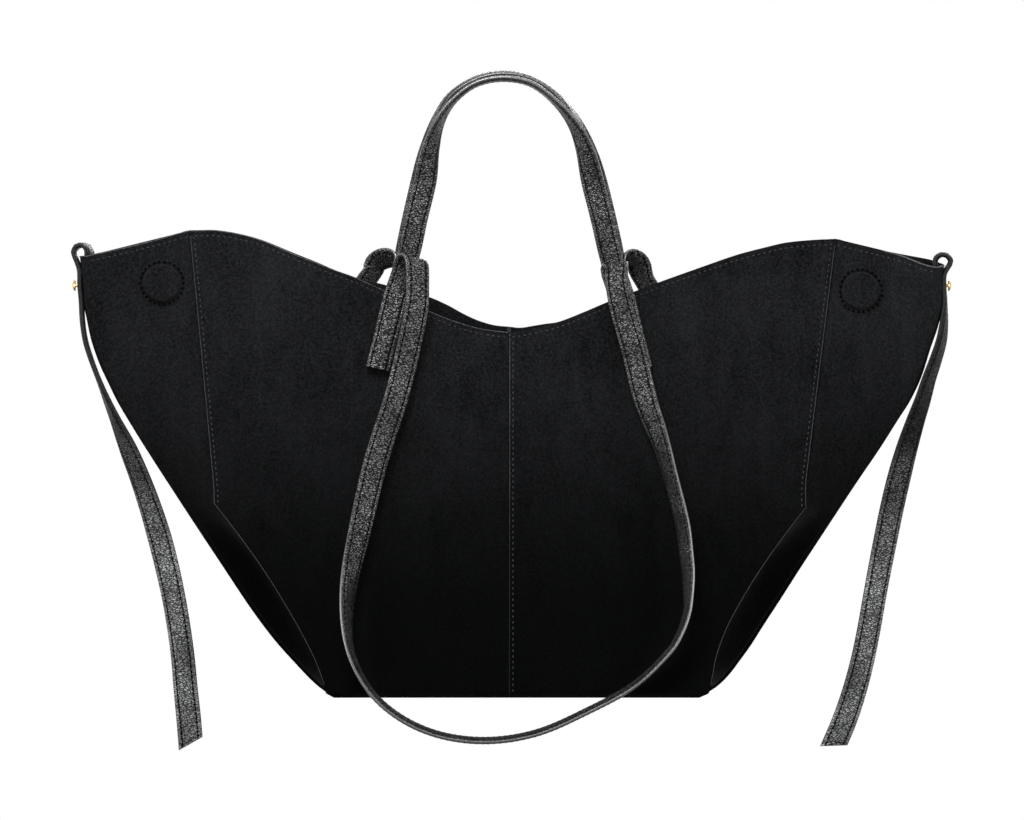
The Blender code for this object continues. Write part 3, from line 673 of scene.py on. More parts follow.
def settled(obj):
    """Applies what modifiers there are, so that the mesh itself has the final shape."""
    depsgraph = bpy.context.evaluated_depsgraph_get()
    mesh = bpy.data.meshes.new_from_object(obj.evaluated_get(depsgraph))
    obj.modifiers.clear()
    old, obj.data = obj.data, mesh
    name = old.name
    bpy.data.meshes.remove(old)
    mesh.name = name
    return obj


# %% [markdown]
# A stitch is a small icosphere, stretched along its row. Its 20 faces are round enough at
# this size, and hundreds of them stay light.

# %% Stitches in rows
STITCH_LENGTH = 0.0021
STITCH_RADIUS = 0.00038


def grain_mesh(name, material_index):
    grain = bmesh.new()
    bmesh.ops.create_icosphere(grain, subdivisions=1, radius=1.0)
    for face in grain.faces:
        face.material_index = material_index
        face.smooth = True
    mesh = bpy.data.meshes.new(name)
    grain.to_mesh(mesh)
    grain.free()
    return mesh


THREAD_GRAIN = grain_mesh("thread_grain", 2)
RIDGE_GRAIN = grain_mesh("ridge_grain", 1)


def add_stitch(bm, centre, along, out, length=STITCH_LENGTH, radius=STITCH_RADIUS, grain=THREAD_GRAIN):
    """One grain of thread, sunk a little into the surface."""
    along = along.normalized()
    side = along.cross(out).normalized()
    out = side.cross(along)
    turn = Matrix((along * length / 2, side * radius, out * radius)).transposed().to_4x4()
    stitch = grain.copy()
    stitch.transform(Matrix.Translation(centre + out * radius * 0.35) @ turn)
    bm.from_mesh(stitch)
    bpy.data.meshes.remove(stitch)


def stitch_line(bm, surface, path, pitch=STITCH_PITCH, samples=500, **shape):
    """Stitches at even steps along a path on a surface. surface gives a point and the way out."""
    spots = [surface(*path(i / samples)) for i in range(samples + 1)]
    walked, due = 0.0, pitch / 2
    count = 0
    for (here, out), (there, _) in zip(spots, spots[1:]):
        step = (there - here).length
        while step > 0 and walked + step >= due:
            centre = here.lerp(there, (due - walked) / step)
            add_stitch(bm, centre, there - here, out, **shape)
            due += pitch
            count += 1
        walked += step
    return count


# %% [markdown]
# The grid operator makes a flat sheet. Its columns are crowded towards its two sides, where
# the seams bend it most, before its points move onto the surface.

# %% One sheet of suede
def with_normal(point, a_low=0.0, flip=1):
    """A surface that also tells the way out, from how its points change."""
    small = 0.002

    def read(a, v):
        a0, a1 = max(a_low, a - small), min(1.0, a + small)
        v0, v1 = max(0.0, v - small), min(1.0, v + small)
        across, up = point(a1, v) - point(a0, v), point(a, v1) - point(a, v0)
        return point(a, v), across.cross(up).normalized() * flip

    return read


def sheet_object(name, point, columns, rows, outward, crowd=0.45, stitches=()):
    """A sheet of suede on a surface. outward is a way that its outer side faces."""
    bm = bmesh.new()
    bm.loops.layers.uv.new("UVMap")
    bmesh.ops.create_grid(bm, x_segments=columns, y_segments=rows, size=0.5, calc_uvs=True)
    for vertex in bm.verts:
        a, v = vertex.co.x + 0.5, vertex.co.y + 0.5
        a = (1 - crowd) * a + crowd * (0.5 - 0.5 * math.cos(math.pi * a))
        vertex.co = point(a, v)
    bm.normal_update()
    total = sum((face.normal * face.calc_area() for face in bm.faces), Vector())
    if total.dot(Vector(outward)) < 0:
        bmesh.ops.reverse_faces(bm, faces=bm.faces)
    obj = finished(name, bm, [suede, raw_edge, suede_thread])
    skin = obj.modifiers.new("thickness", "SOLIDIFY")
    skin.thickness = SUEDE
    skin.offset = -1
    skin.material_offset_rim = 1
    settled(obj)
    bm = bmesh.new()
    bm.from_mesh(obj.data)
    count = sum(stitch_line(bm, surface, path, **shape) for surface, path, shape in stitches)
    bm.to_mesh(obj.data)
    bm.free()
    obj.data.set_sharp_from_angle(angle=math.radians(50))
    print(name, len(obj.data.polygons), "faces,", count, "stitches")
    return obj


# %% [markdown]
# ## Front and rear faces
# The front and rear are each two pieces of suede, joined at the centre seam. One row of
# stitches runs beside that seam, on the right-hand piece, one row below the rim and one
# beside each wing seam.

# %% The four face pieces
SEAM_ROW = 0.0030
CENTRE_ROW = 0.0026
RIDGE = {"pitch": 0.0012, "length": 0.0040, "radius": 0.00032, "grain": RIDGE_GRAIN}
FAINT_RIDGE = {**RIDGE, "radius": 0.00026, "grain": THREAD_GRAIN}


def face_rows(side_name, face_name, point, flip):
    surface = with_normal(point, flip=flip)
    rim = RIMS[side_name, face_name]
    foot = SEAM_FOOT[1] / SEAM_TOP[1]

    def below_rim(offset, low, high):
        def path(s):
            a = low + s * (high - low)
            return a, 1 - offset / rim(a * SEAM_TOP[0])

        return path

    def beside_seam(offset, low, high):
        def path(s):
            v = low + s * (high - low)
            return 1 - offset / seam_x(v * SEAM_TOP[1], side_name), v

        return path

    def beside_centre(s):
        v = 0.012 + s * 0.965
        return CENTRE_ROW / seam_x(v * SEAM_TOP[1]), v

    def along_centre(s):
        return 0.0005 / seam_x(0.1), 0.006 + s * 0.985

    rows = [
        (surface, below_rim(RIM_ROW, 0.006, 0.990), {}),
        (surface, beside_seam(SEAM_ROW, foot, 0.985), {}),
        (surface, beside_seam(0.0007, foot, 0.985), FAINT_RIDGE),
        (surface, beside_seam(0.0008, 0.03, foot), FAINT_RIDGE),
    ]
    if side_name == "right":
        rows += [(surface, beside_centre, {}), (surface, along_centre, RIDGE)]
    else:
        rows.append((surface, below_rim(0.0004, 0.004, 0.994), RIDGE))
    return rows


for face_name, face in FACES.items():
    for side_name, side in SIDES.items():
        def point(a, v, side_name=side_name, face_name=face_name):
            return face_point(side_name, face_name, a, v)

        piece = sheet_object(
            f"{face_name}_{side_name}_face", point, 80, 110, (0, face, 0),
            stitches=face_rows(side_name, face_name, point, -side * face),
        )
        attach(piece, "bag")
        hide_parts(f"{face_name}_{side_name}_panel")

# %% [markdown]
# ## Gussets and wings
# Each side is one sheet, folded round the bag's edge. Low down it tucks in behind the
# crease. Higher up its two layers lie together as the wing.

# %% The two side pieces
WING_FOLD_FOOT = (0.203, 0.109)
WING_FOLD_TOP = (0.216, 0.300)
WING_FOLD_HALF = 0.0062


def side_rows(side_name, point, flip):
    surface = with_normal(point, a_low=-1.0, flip=flip)
    bare = 0.0 if side_name == "left" else 0.40
    rows = []
    for sign in (-1, 1):
        def along_rim(s, sign=sign):
            return sign * (0.99 - s * 0.84), 1 - RIM_ROW / TIP_Z

        def along_edge(s, sign=sign):
            return sign * (0.995 - bare - s * (0.985 - bare)), 1 - 0.0004 / TIP_Z

        rows += [(surface, along_rim, {}), (surface, along_edge, RIDGE)]
    return rows


def wing_line(side_name):
    """Two points on each side of the wing's fold line."""
    side = SIDES[side_name]
    foot, top = (Vector((side * x, 0, z + GROUND)) for x, z in (WING_FOLD_FOOT, WING_FOLD_TOP))
    up = (top - foot).normalized()
    out = Vector((side * abs(up.z), 0, -side * up.x))
    middle = (foot + top) / 2
    return middle - out * WING_FOLD_HALF, middle + out * WING_FOLD_HALF


for side_name, side in SIDES.items():
    def point(a, v, side_name=side_name):
        return side_point(side_name, a, v)

    def from_grid(a, v, point=point):
        return point(2 * a - 1, v)

    piece = sheet_object(
        f"{side_name}_side", from_grid, 150, 110, (side, 0, 0), crowd=0.0,
        stitches=side_rows(side_name, point, side),
    )
    start, stop = wing_line(side_name)
    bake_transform(piece)
    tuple(start)
    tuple(stop)
    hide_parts(f"{side_name}_gusset", f"{side_name}_wing_fold", f"{side_name}_wing")

# %% [markdown]
# ## The base
# The base is one flat piece of suede, sewn in all round, with a stiffening board lying on
# it. It sags a little between its seams.

# %% The base piece
BASE_EDGE = BASE_ROUNDING + 0.0002


def base_point(a, v):
    x = (2 * a - 1) * (BASE_HALF - BASE_EDGE)
    y = (2 * v - 1) * (BASE_HALF_DEPTH - BASE_EDGE)
    sag = 0.0006 * math.sin(math.pi * a) * math.sin(math.pi * v)
    x += (x > 0) * EXTRA["right"](0) * ease(x, FULLER_FROM, BASE_HALF)
    return Vector((x, y, GROUND - sag))


base = sheet_object("base_sheet", base_point, 40, 24, (0, 0, -1), crowd=0.3)
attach(base, "bag")
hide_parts("base_panel")


# %% [markdown]
# ## Straps as bent bars
# A strap is two layers of leather glued back to back and sewn along both edges. It starts
# as a straight bar with rounded edges, cut finely along its length. Each point then
# moves to its place on a smooth guide line, which also says which way the strap faces.

# %% A guide line for straps
def guide(points, ways):
    """Places on a strap by length along it, across it and out of it, and its whole length."""
    walked = [0.0]
    for here, there in zip(points, points[1:]):
        walked.append(walked[-1] + (there - here).length)
    stations = np.linspace(0, walked[-1], int(walked[-1] / 0.001))

    def sampled(vectors):
        axes = [curve([(w, v[k]) for w, v in zip(walked, vectors)]) for k in range(3)]
        return np.array([[axis(s) for axis in axes] for s in stations])

    def unit(table):
        return table / np.linalg.norm(table, axis=1)[:, None]

    middle = sampled(points)
    along = unit(np.gradient(middle, axis=0))
    across = sampled(ways)
    across = unit(across - along * (across * along).sum(1)[:, None])
    out = np.cross(along, across)
    steps = np.linalg.norm(np.diff(middle, axis=0), axis=1)
    length = np.concatenate([[0], np.cumsum(steps)])

    def place(s, w, t):
        def read(table):
            return np.stack([np.interp(s, length, table[:, k]) for k in range(3)], -1)

        return read(middle) + read(across) * w[:, None] + read(out) * t[:, None]

    return place, length[-1]


# %% [markdown]
# ## The strap itself
# The bar is a cube with its long edges bevelled and its faces cut by subdivide_edges. The
# faces are crowned a little between the two stitched grooves. The painted edge is its own
# material, because paint hides the grain. It is glossy, but dull on the ties.

# %% Building a strap
STRAP_STEP = 0.0022
STRAP_CUTS = 19
STRAP_STITCH = {"length": 0.0027, "radius": 0.00038}
STITCH_SINK = 0.0002
ROW_INSET = 0.0028
CROWN = 0.00030
ROW_SINK = 0.00034
EDGE_THINNING = 0.00060


def strap_bar(length, width):
    bm = bmesh.new()
    size = Matrix.Diagonal((length, width, STRAP_THICKNESS, 1.0))
    bmesh.ops.create_cube(bm, size=1.0, matrix=Matrix.Translation((length / 2, 0, 0)) @ size)

    def edges_along(axis, least):
        return [e for e in bm.edges if abs(e.verts[0].co[axis] - e.verts[1].co[axis]) > least]

    bmesh.ops.bevel(
        bm, geom=edges_along(0, length / 2), offset=0.0008, offset_type="OFFSET", segments=3,
        profile=0.5, affect="EDGES", material=-1,
    )
    bmesh.ops.subdivide_edges(bm, edges=edges_along(1, width / 2), cuts=STRAP_CUTS, use_grid_fill=True)
    cuts = int(length / STRAP_STEP)
    bmesh.ops.subdivide_edges(bm, edges=edges_along(0, length / 2), cuts=cuts, use_grid_fill=True)
    return bm


def crown(w, t, width):
    """How a strap's face swells between its stitched grooves."""
    row = STRAP_ROW * width / STRAP_WIDTH
    out = np.abs(w)
    swell = CROWN * (1 - (w / (width / 2)) ** 2)
    sink = ROW_SINK * np.exp(-(((out - row) / 0.0007) ** 2))
    thin = EDGE_THINNING * np.clip((out - row) / (width / 2 - row), 0, 1)
    return t * (1 + (swell - sink - thin) / (STRAP_THICKNESS / 2))


# %% [markdown]
# Two rows of thread run along each face, and a short row closes each end. The grains are
# sunk a little, so that they don't break the strap's outline where it turns edge-on.

# %% Sewing a strap
def sew_strap(bm, place, length, width, shear):
    """Two rows of stitches on each face, closed by a row across each end."""
    count = 0
    row = STRAP_ROW * width / STRAP_WIDTH
    for face in (-1, 1):
        level = face * STRAP_THICKNESS / 2
        rows = []
        n = int((length - 2 * ROW_INSET) / STITCH_PITCH)
        s = ROW_INSET + (np.arange(n) + 0.5) * (length - 2 * ROW_INSET) / n
        rows += [(s, np.full(n, w), 0) for w in (-row, row)]
        w = np.array([-0.0027, 0.0, 0.0027])
        rows += [(np.full(3, end), w, 1) for end in (ROW_INSET, length - ROW_INSET)]
        for s, w, crossing in rows:
            s = s + shear(s, w)
            t = crown(w, np.full(len(s), level), width)
            centres = place(s, w, t - face * STITCH_SINK)
            ahead = place(s + (1 - crossing) * 0.001, w + crossing * 0.001, t) - centres
            out = centres - place(s, w, t * 0)
            for c, a, o in zip(centres, ahead, out):
                add_stitch(bm, Vector(c), Vector(a), Vector(o).normalized(), **STRAP_STITCH)
                count += 1
    return count


# %% [markdown]
# The straight bar gets its UV map before it is bent, so the grain lies along the strap. The
# far end can be cut at a slant, by shearing the last stretch of the bar.

# %% A finished strap
def strap_object(name, points, ways, width, slant=0.0, finish=leather, edge_finish=painted_edge):
    """A strap along points. A slant cuts its far end at an angle, with the sign of the longer edge."""
    place, length = guide(points, ways)
    lean = math.tan(math.radians(abs(slant)))

    def shear(s, w):
        return (w * np.sign(slant) - width / 2) * lean * np.clip((s - length + 0.03) / 0.03, 0, 1)

    bm = strap_bar(length, width)
    uv = bm.loops.layers.uv.new("UVMap")
    bm.normal_update()
    for face in bm.faces:
        edge = abs(face.normal.y) > 0.75
        face.material_index = 1 if edge or abs(face.normal.x) > 0.5 else 0
        for loop in face.loops:
            x, y, _ = loop.vert.co
            loop[uv].uv = (x, y * STRAP_WIDTH / width)
    s, w, t = np.array([vertex.co for vertex in bm.verts]).T
    moved = place(s + shear(s, w), w, crown(w, t, width))
    for vertex, where in zip(bm.verts, moved):
        vertex.co = where
    if bm.calc_volume(signed=True) < 0:
        bmesh.ops.reverse_faces(bm, faces=bm.faces)
    count = sew_strap(bm, place, length, width, shear)
    obj = finished(name, bm, [finish, edge_finish, strap_thread])
    obj.data.set_sharp_from_angle(angle=math.radians(60))
    print(name, round(length, 3), "m,", len(obj.data.polygons), "faces,", count, "stitches")
    return obj


# %% [markdown]
# ## Where the straps run
# Each handle and each long strap is sewn to a face over a short tab, the handle against
# the suede and the long strap over it. A handle rises and meets its partner at the top. A
# long strap folds over just above the rim and hangs in a loop, turning edge-on on the way.

# %% Strap places
TAB_FOOT_X = 0.0855
TAB_RIM_X = 0.0740
TAB_FOOT_Z = 0.2134
TAB_RIM_Z = 0.2602
FOLD_Z = 0.2780
RISE_X = 0.0680
FACE_SLACK = 0.0008
FOLD_RADIUS = 0.0045
BEND_FOOT_Z = 0.2680
BEND_TOP_Z = 0.2920
TAB_DEPTH = panel_depth(TAB_RIM_X, TAB_RIM_Z) + FACE_SLACK
FOLD_DEPTH = TAB_DEPTH + 1.5 * LAYER + FOLD_RADIUS


def over(point):
    return Vector((point[0], point[1], point[2] + GROUND))


def tab_line(side, face, number, stop_z):
    """From a tab's foot over the rim to stop_z, with the ways across on the right-hand side."""
    points, ways = [], []
    for k in range(6):
        t = k / 5
        x = TAB_FOOT_X + (TAB_RIM_X - TAB_FOOT_X) * t
        z = TAB_FOOT_Z + (TAB_RIM_Z - TAB_FOOT_Z) * t
        near, far = (panel_depth(x + reach, z) for reach in (-STRAP_WIDTH / 2, STRAP_WIDTH / 2))
        depth = panel_depth(x, z) + FACE_SLACK + (number + 0.5) * LAYER
        points.append(over((side * x, face * depth, z)))
        ways.append(Vector((side, face * (far - near) / STRAP_WIDTH, 0)).normalized())
    x = TAB_RIM_X + (RISE_X - TAB_RIM_X) * (stop_z - TAB_RIM_Z) / (FOLD_Z - TAB_RIM_Z)
    points.append(over((side * x, face * (TAB_DEPTH + (number + 0.5) * LAYER), stop_z)))
    ways.append(Vector((side, 0, 0)))
    return points, ways


def sewn_ends(face_name, *kinds):
    """The names of the solids at both ends of a handle or a strap."""
    return [f"{face_name}_{side_name}_{kind}" for side_name in SIDES for kind in kinds]


def headings(points):
    """The way along a line at each of its points."""
    last = len(points) - 1
    return [(points[min(n + 1, last)] - points[max(n - 1, 0)]).normalized() for n in range(last + 1)]


def turned_ways(points, face, turn, degrees_at):
    """Ways across that lie flat to the front, turned by an angle that depends on the height."""
    ways = []
    for point, along in zip(points, headings(points)):
        flat = Vector((0, -1, 0)).cross(along).normalized()
        angle = math.radians(degrees_at(point.x, point.z - GROUND))
        ways.append(flat * math.cos(angle) + Vector((0, face * turn, 0)) * math.sin(angle))
    return ways


# %% [markdown]
# ## Short handles
# The rear handle stands a little wider and higher, so that it shows behind the front one.

# %% The two short handles
HANDLE_LINE = mm((
    (-64.5, 292), (-60.5, 311), (-54.5, 336), (-49.7, 357), (-44.2, 375.3), (-36.2, 388.5),
    (-22.2, 399.2), (-4.5, 403), (13.8, 399.9), (28.5, 389.3), (40.2, 374.5), (47.6, 357.7),
    (54.8, 334), (60.7, 311), (65, 292),
))
HANDLE_TURN = (0.318, 0.398)
HANDLE_OFFSET = 0.0092
# How much wider and higher than the line each handle stands, and its spread at the shoulders.
HANDLE_SHAPES = {"front": (0.0, 0.0, 0.0018), "rear": (0.0024, 0.0042, 0.0002)}
SHOULDER = (0.363, 0.016)
WIDE_UP_TO = 0.39


def handle_angle(_, z):
    return 84 * ease(z, *HANDLE_TURN)


for face_name, face in FACES.items():
    wider, higher, spread_out = HANDLE_SHAPES[face_name]
    start_depth = TAB_DEPTH + LAYER / 2
    rising = []
    for x, z in HANDLE_LINE:
        depth = start_depth + (HANDLE_OFFSET - start_depth) * ease(z, BEND_TOP_Z, HANDLE_TURN[1])
        wide = wider + spread_out * bump(z - SHOULDER[0], SHOULDER[1])
        high = higher * ease(z, BEND_TOP_Z, HANDLE_TURN[1])
        across = x + math.copysign(wide, x) * (z < WIDE_UP_TO)
        rising.append(over((across, face * depth, z + high)))
    left, left_ways = tab_line(-1, face, 0, BEND_FOOT_Z)
    right, right_ways = tab_line(1, face, 0, BEND_FOOT_Z)
    points = left + rising + right[::-1]
    ways = left_ways + turned_ways(rising, face, 1, handle_angle) + right_ways[::-1]
    piece = strap_object(f"{face_name}_handle_strap", points, ways, STRAP_WIDTH, finish=handle_leather)
    height = start_depth * face
    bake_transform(piece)
    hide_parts(f"{face_name}_short_handle", *sewn_ends(face_name, "handle_end", "handle_bend"))

# %% [markdown]
# ## Long straps
# In front the loop hangs past the base. Behind, it hangs wider and higher, and its folds
# show over the rim beside the handles.

# %% The two long straps
STRAP_TURN = (0.150, 0.008)
FOLD_TURN = (0.225, 0.275)
FRONT_LOOP = mm((
    (-59.5, 270), (-60, 255), (-65.6, 226), (-73.9, 193), (-86.3, 154), (-96.9, 108.6), (-104.8, 67),
    (-103.3, 32.5), (-90.3, 5.5), (-70, -12.5), (-44, -23.6), (-13.7, -27), (17.5, -22.2), (48.8, -9),
    (80.8, 8.5), (104.1, 30.6), (111.6, 43.6), (115.7, 56.6), (116.5, 69.6), (116.3, 82.6),
    (114.9, 95.6), (113.4, 108.6), (110.7, 121.6), (107.3, 134.6), (103.9, 147.6), (100.4, 160.6),
    (96, 173.6), (91.1, 186.6), (87, 200), (80.9, 226), (72.8, 255), (70.2, 270),
))
REAR_LOOP = mm((
    (-93.7, 271.5), (-102, 256), (-114, 228), (-128, 190), (-134, 150), (-126, 105), (-102, 60),
    (-60, 32), (0, 22), (60, 32), (102, 60), (126, 105), (134, 150), (128, 190), (114, 228), (99, 256),
    (89.2, 271.5),
))
HANG_OUT = 0.0125
EVEN_SWING = 0.62
# How high each fold stands, and by how many degrees it yaws and tilts.
FOLDS = {
    ("front", -1): (0.0070, 24, 20), ("front", 1): (0.0034, 24, 4),
    ("rear", -1): (0.0086, -34, 50), ("rear", 1): (0.0086, -16, 30),
}
REAR_REACH = {-1: -0.0892, 1: 0.0864}
# The way that a fold leans, and two reaches along that way from its middle.
FOLD_LEAN = 0.12
FOLD_BEND = {"front": (-0.0026, 0.0), "rear": (-0.0027, -0.0008)}
early_turn = curve((
    (0.0306, 82), (0.0566, 78), (0.0696, 70), (0.0826, 64), (0.0956, 61), (0.1216, 59),
    (0.1476, 57), (0.1606, 52), (0.1736, 40), (0.1866, 27), (0.2000, 16), (0.2200, 0), (0.3000, 0),
))


def front_angle(x, z):
    """Degrees that the front loop is turned from flat. Its right half turns higher up."""
    angle = 12 + 12 * ease(z, *FOLD_TURN) + 70 * ease(z, *STRAP_TURN)
    return max(angle, early_turn(z)) if x > 0.03 else angle


def rear_angle(_, z):
    return -38 * ease(z, *FOLD_TURN) + 84 * ease(z, *STRAP_TURN)


def hang_depth(z):
    start, stop = FOLD_DEPTH + FOLD_RADIUS, BASE_HALF_DEPTH + HANG_OUT
    t = (FOLD_Z - z) / FOLD_Z
    return start + (stop - start) * t * (EVEN_SWING + (1 - EVEN_SWING) * t)


def fold_over(side, face, hang_x, height, yaw, tilt):
    """The half turn of a strap over its fold, and its ways across, turning as it comes down."""
    points, ways = [], []
    for k in range(1, 9):
        angle = math.pi * k / 8
        x = RISE_X * side + (hang_x - RISE_X * side) * (1 - math.cos(angle)) / 2
        y = FOLD_DEPTH - FOLD_RADIUS * math.cos(angle)
        points.append(over((x, face * y, FOLD_Z + height * math.sin(angle))))
        turn = math.radians(yaw) * k / 8
        lower = math.radians(tilt) * math.sin(angle)
        ways.append(Vector((-side * math.cos(turn), -face * math.sin(turn), -math.sin(lower))))
    return points, ways


for face_name, loop in (("front", FRONT_LOOP), ("rear", REAR_LOOP)):
    face = FACES[face_name]
    hanging = [over((x, face * hang_depth(z), z)) for x, z in loop]
    reach = {-1: loop[0][0], 1: loop[-1][0]}
    degrees_at = front_angle
    if face_name == "rear":
        reach = REAR_REACH
        degrees_at = rear_angle
    halves = {}
    for side in (-1, 1):
        tab, tab_ways = tab_line(side, face, 1, FOLD_Z)
        turn, turn_ways = fold_over(side, face, reach[side], *FOLDS[face_name, side])
        halves[side] = tab + turn, [-way for way in tab_ways] + turn_ways
    points = halves[-1][0] + hanging + halves[1][0][::-1]
    ways = halves[-1][1] + turned_ways(hanging, face, -1, degrees_at) + halves[1][1][::-1]
    piece = strap_object(f"{face_name}_shoulder_strap", points, ways, LONG_WIDTH)
    lean = Vector((0, face, FOLD_LEAN)).normalized()
    middle = over((0, face * FOLD_DEPTH, FOLD_Z))
    start, stop = (middle + lean * reach for reach in FOLD_BEND[face_name])
    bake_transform(piece)
    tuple(start)
    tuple(stop)
    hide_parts(f"{face_name}_long_strap", *sewn_ends(face_name, "strap_end", "strap_fold"))

# %% [markdown]
# ## Side ties
# A tie is one strap. It is sewn inside the open tip of the wing, turns over the rim in a
# small loop, comes down outside and is pinned there by a stud. Below the stud it hangs
# free: edge-on at first, then turning its face to the front.

# %% The two side ties
STUD_Z = 0.2680
TIP_WALL = {"left": 0.2788, "right": 0.2825}
TIE_LINES = {
    "left": mm((
        (279.7, 258), (279, 245), (277.1, 232), (273.1, 219), (268.2, 206), (263, 193), (257.4, 180),
        (248.9, 160.6), (241, 141), (234.2, 121.6), (228.3, 102), (223.4, 82.6), (219.2, 63),
        (215.9, 43.6), (213.3, 24), (211.6, 4.6), (209.6, -15), (207.9, -35.5),
    )),
    "right": mm((
        (285, 258), (284.6, 245), (282.9, 232), (279, 219), (274.5, 206), (270.6, 193), (266.1, 180),
        (260, 160.6), (254.8, 141), (250.3, 121.6), (246.3, 102), (242.5, 82.6), (238.9, 63),
        (235.5, 43.6), (231.5, 24), (226.5, 4.6), (220, -15), (211, -36.5),
    )),
}
# The middle and the radius of the loop over the rim.
LOOP_AT = {"left": (0.2796, 0.2893, 0.0051), "right": (0.2838, 0.2832, 0.0051)}
LOOP_YAW = {"left": 16, "right": 5}
ROOT_Z = 0.2700
TIE_TURN = {
    "left": curve((
        (-0.035, 86), (-0.015, 82), (0.0200, 72), (0.0600, 70), (0.0826, 74), (0.1020, 74), (0.1216, 63),
        (0.1410, 54), (0.1606, 44), (0.1800, 23), (0.1930, 13), (0.2060, 4), (0.2160, 0),
    )),
    "right": curve((
        (-0.035, 86), (-0.015, 82), (0.0200, 72), (0.0700, 68), (0.1020, 72), (0.1410, 70), (0.1703, 52),
        (0.1884, 41), (0.2090, 31), (0.2298, 24), (0.2423, 17), (0.2505, 10), (0.2620, 0),
    )),
}
TIE_SLANT = 25
STUD_REACH = 0.0085

for side_name, side in SIDES.items():
    outside = TIP_WALL[side_name] + 0.0003 + STRAP_THICKNESS / 2
    centre_x, centre_z, radius = LOOP_AT[side_name]
    upper = [over((side * (centre_x - radius), 0, z)) for z in (ROOT_Z, (ROOT_Z + centre_z) / 2)]
    for k in range(9):
        angle = math.pi * (1 - k / 8)
        x = centre_x + radius * math.cos(angle)
        upper.append(over((side * x, 0, centre_z + radius * math.sin(angle))))
    upper.append(over((side * (outside + 0.0004), 0, (centre_z + STUD_Z) / 2)))
    ways = []
    for n in range(len(upper)):
        yaw = math.radians(LOOP_YAW[side_name]) * (1 - ease(n, 4, 11))
        ways.append(Vector((-math.sin(yaw), -math.cos(yaw), 0)))
    tail = [over((side * outside, 0, STUD_Z))]
    tail += [over((side * x, 0, z)) for x, z in TIE_LINES[side_name]]
    edge_on = Vector((0, -1, 0))
    for point, along in zip(tail, headings(tail)):
        angle = math.radians(TIE_TURN[side_name](point.z - GROUND))
        ways.append(edge_on * math.cos(angle) + side * along.cross(edge_on) * math.sin(angle))
    piece = strap_object(
        f"{side_name}_tie_strap", upper + tail, ways, TIE_WIDTH, side * TIE_SLANT, tie_leather, dull_edge,
    )
    start, stop = (over((side * outside, 0, STUD_Z + reach)) for reach in (STUD_REACH, -STUD_REACH))
    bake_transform(piece)
    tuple(start)
    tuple(stop)
    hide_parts(f"{side_name}_tie_loop", f"{side_name}_tie")

# %% [markdown]
# ## Studs
# A stud is turned from brass: a stem through the wing and the tie, with a thin domed head
# outside. Its outline is spun round its axis, as a lathe would cut it.

# %% The two brass studs
def lathe(name, outline, side, z, finish):
    """An outline of (x, radius) spun round a line through the stud's height along X."""
    bm = bmesh.new()
    corners = [bm.verts.new((x, 0, radius)) for x, radius in outline]
    edges = [bm.edges.new(pair) for pair in zip(corners, corners[1:])]
    bmesh.ops.spin(
        bm, geom=corners + edges, cent=(0, 0, 0), axis=(1, 0, 0), angle=2 * math.pi, steps=40,
        use_merge=True,
    )
    bmesh.ops.remove_doubles(bm, verts=bm.verts, dist=0.000005)
    bmesh.ops.scale(bm, vec=(side, 1, 1), verts=bm.verts)
    bmesh.ops.translate(bm, vec=over((0, 0, z)), verts=bm.verts)
    bmesh.ops.recalc_face_normals(bm, faces=bm.faces)
    obj = finished(name, bm, [finish])
    obj.data.set_sharp_from_angle(angle=math.radians(40))
    print(name, len(obj.data.polygons), "faces")
    return obj


for side_name, side in SIDES.items():
    wall = TIP_WALL[side_name]
    neck = wall + 0.0006 + STRAP_THICKNESS + 0.0014
    inner = wall - SUEDE - 0.0010
    outline = [
        (inner, 0.0), (inner, 0.0030), (inner + 0.0003, 0.0033), (inner + 0.0008, 0.0033),
        (inner + 0.0009, 0.0012), (neck, 0.0010), (neck - 0.0003, 0.0034), (neck, 0.0036),
        (neck + 0.0007, 0.0034), (neck + 0.0013, 0.0026), (neck + 0.0017, 0.0013), (neck + 0.0018, 0.0),
    ]
    piece = lathe(f"{side_name}_brass_stud", outline, side, STUD_Z, brass)
    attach(piece, f"{side_name}_wing")
    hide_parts(f"{side_name}_stud", f"{side_name}_stud_cap")

# %% [markdown]
# ## Magnet patches
# Each wing has a round suede patch on both faces with a magnet under it, which lets the
# wings snap flat. A circle is inset ring by ring, raised over the magnet and laid on the
# wing. It is sewn down by short stitches that point to its middle.

# %% The four magnet patches
MAGNET_X = {"left": 0.2268, "right": 0.2298}
MAGNET_Z = {"left": 0.2695, "right": 0.2645}
PATCH_RADIUS = 0.0158
PATCH_RINGS = (0.0004, 0.0010, 0.0008, 0.0006) + (0.0004,) * 4 + (0.0006,) + (0.0012,) * 7
RING_ENDS = (0.0132, 0.0148)
RING_HOLES = 26
RING_STITCH = {"length": 0.0017, "radius": 0.0007}
MAGNET_RISE = 0.0021
MAGNET_EDGE = (0.0115, 0.0124)
BRIM_HEIGHT = 0.0006
BRIM_END = (0.0148, 0.0158)


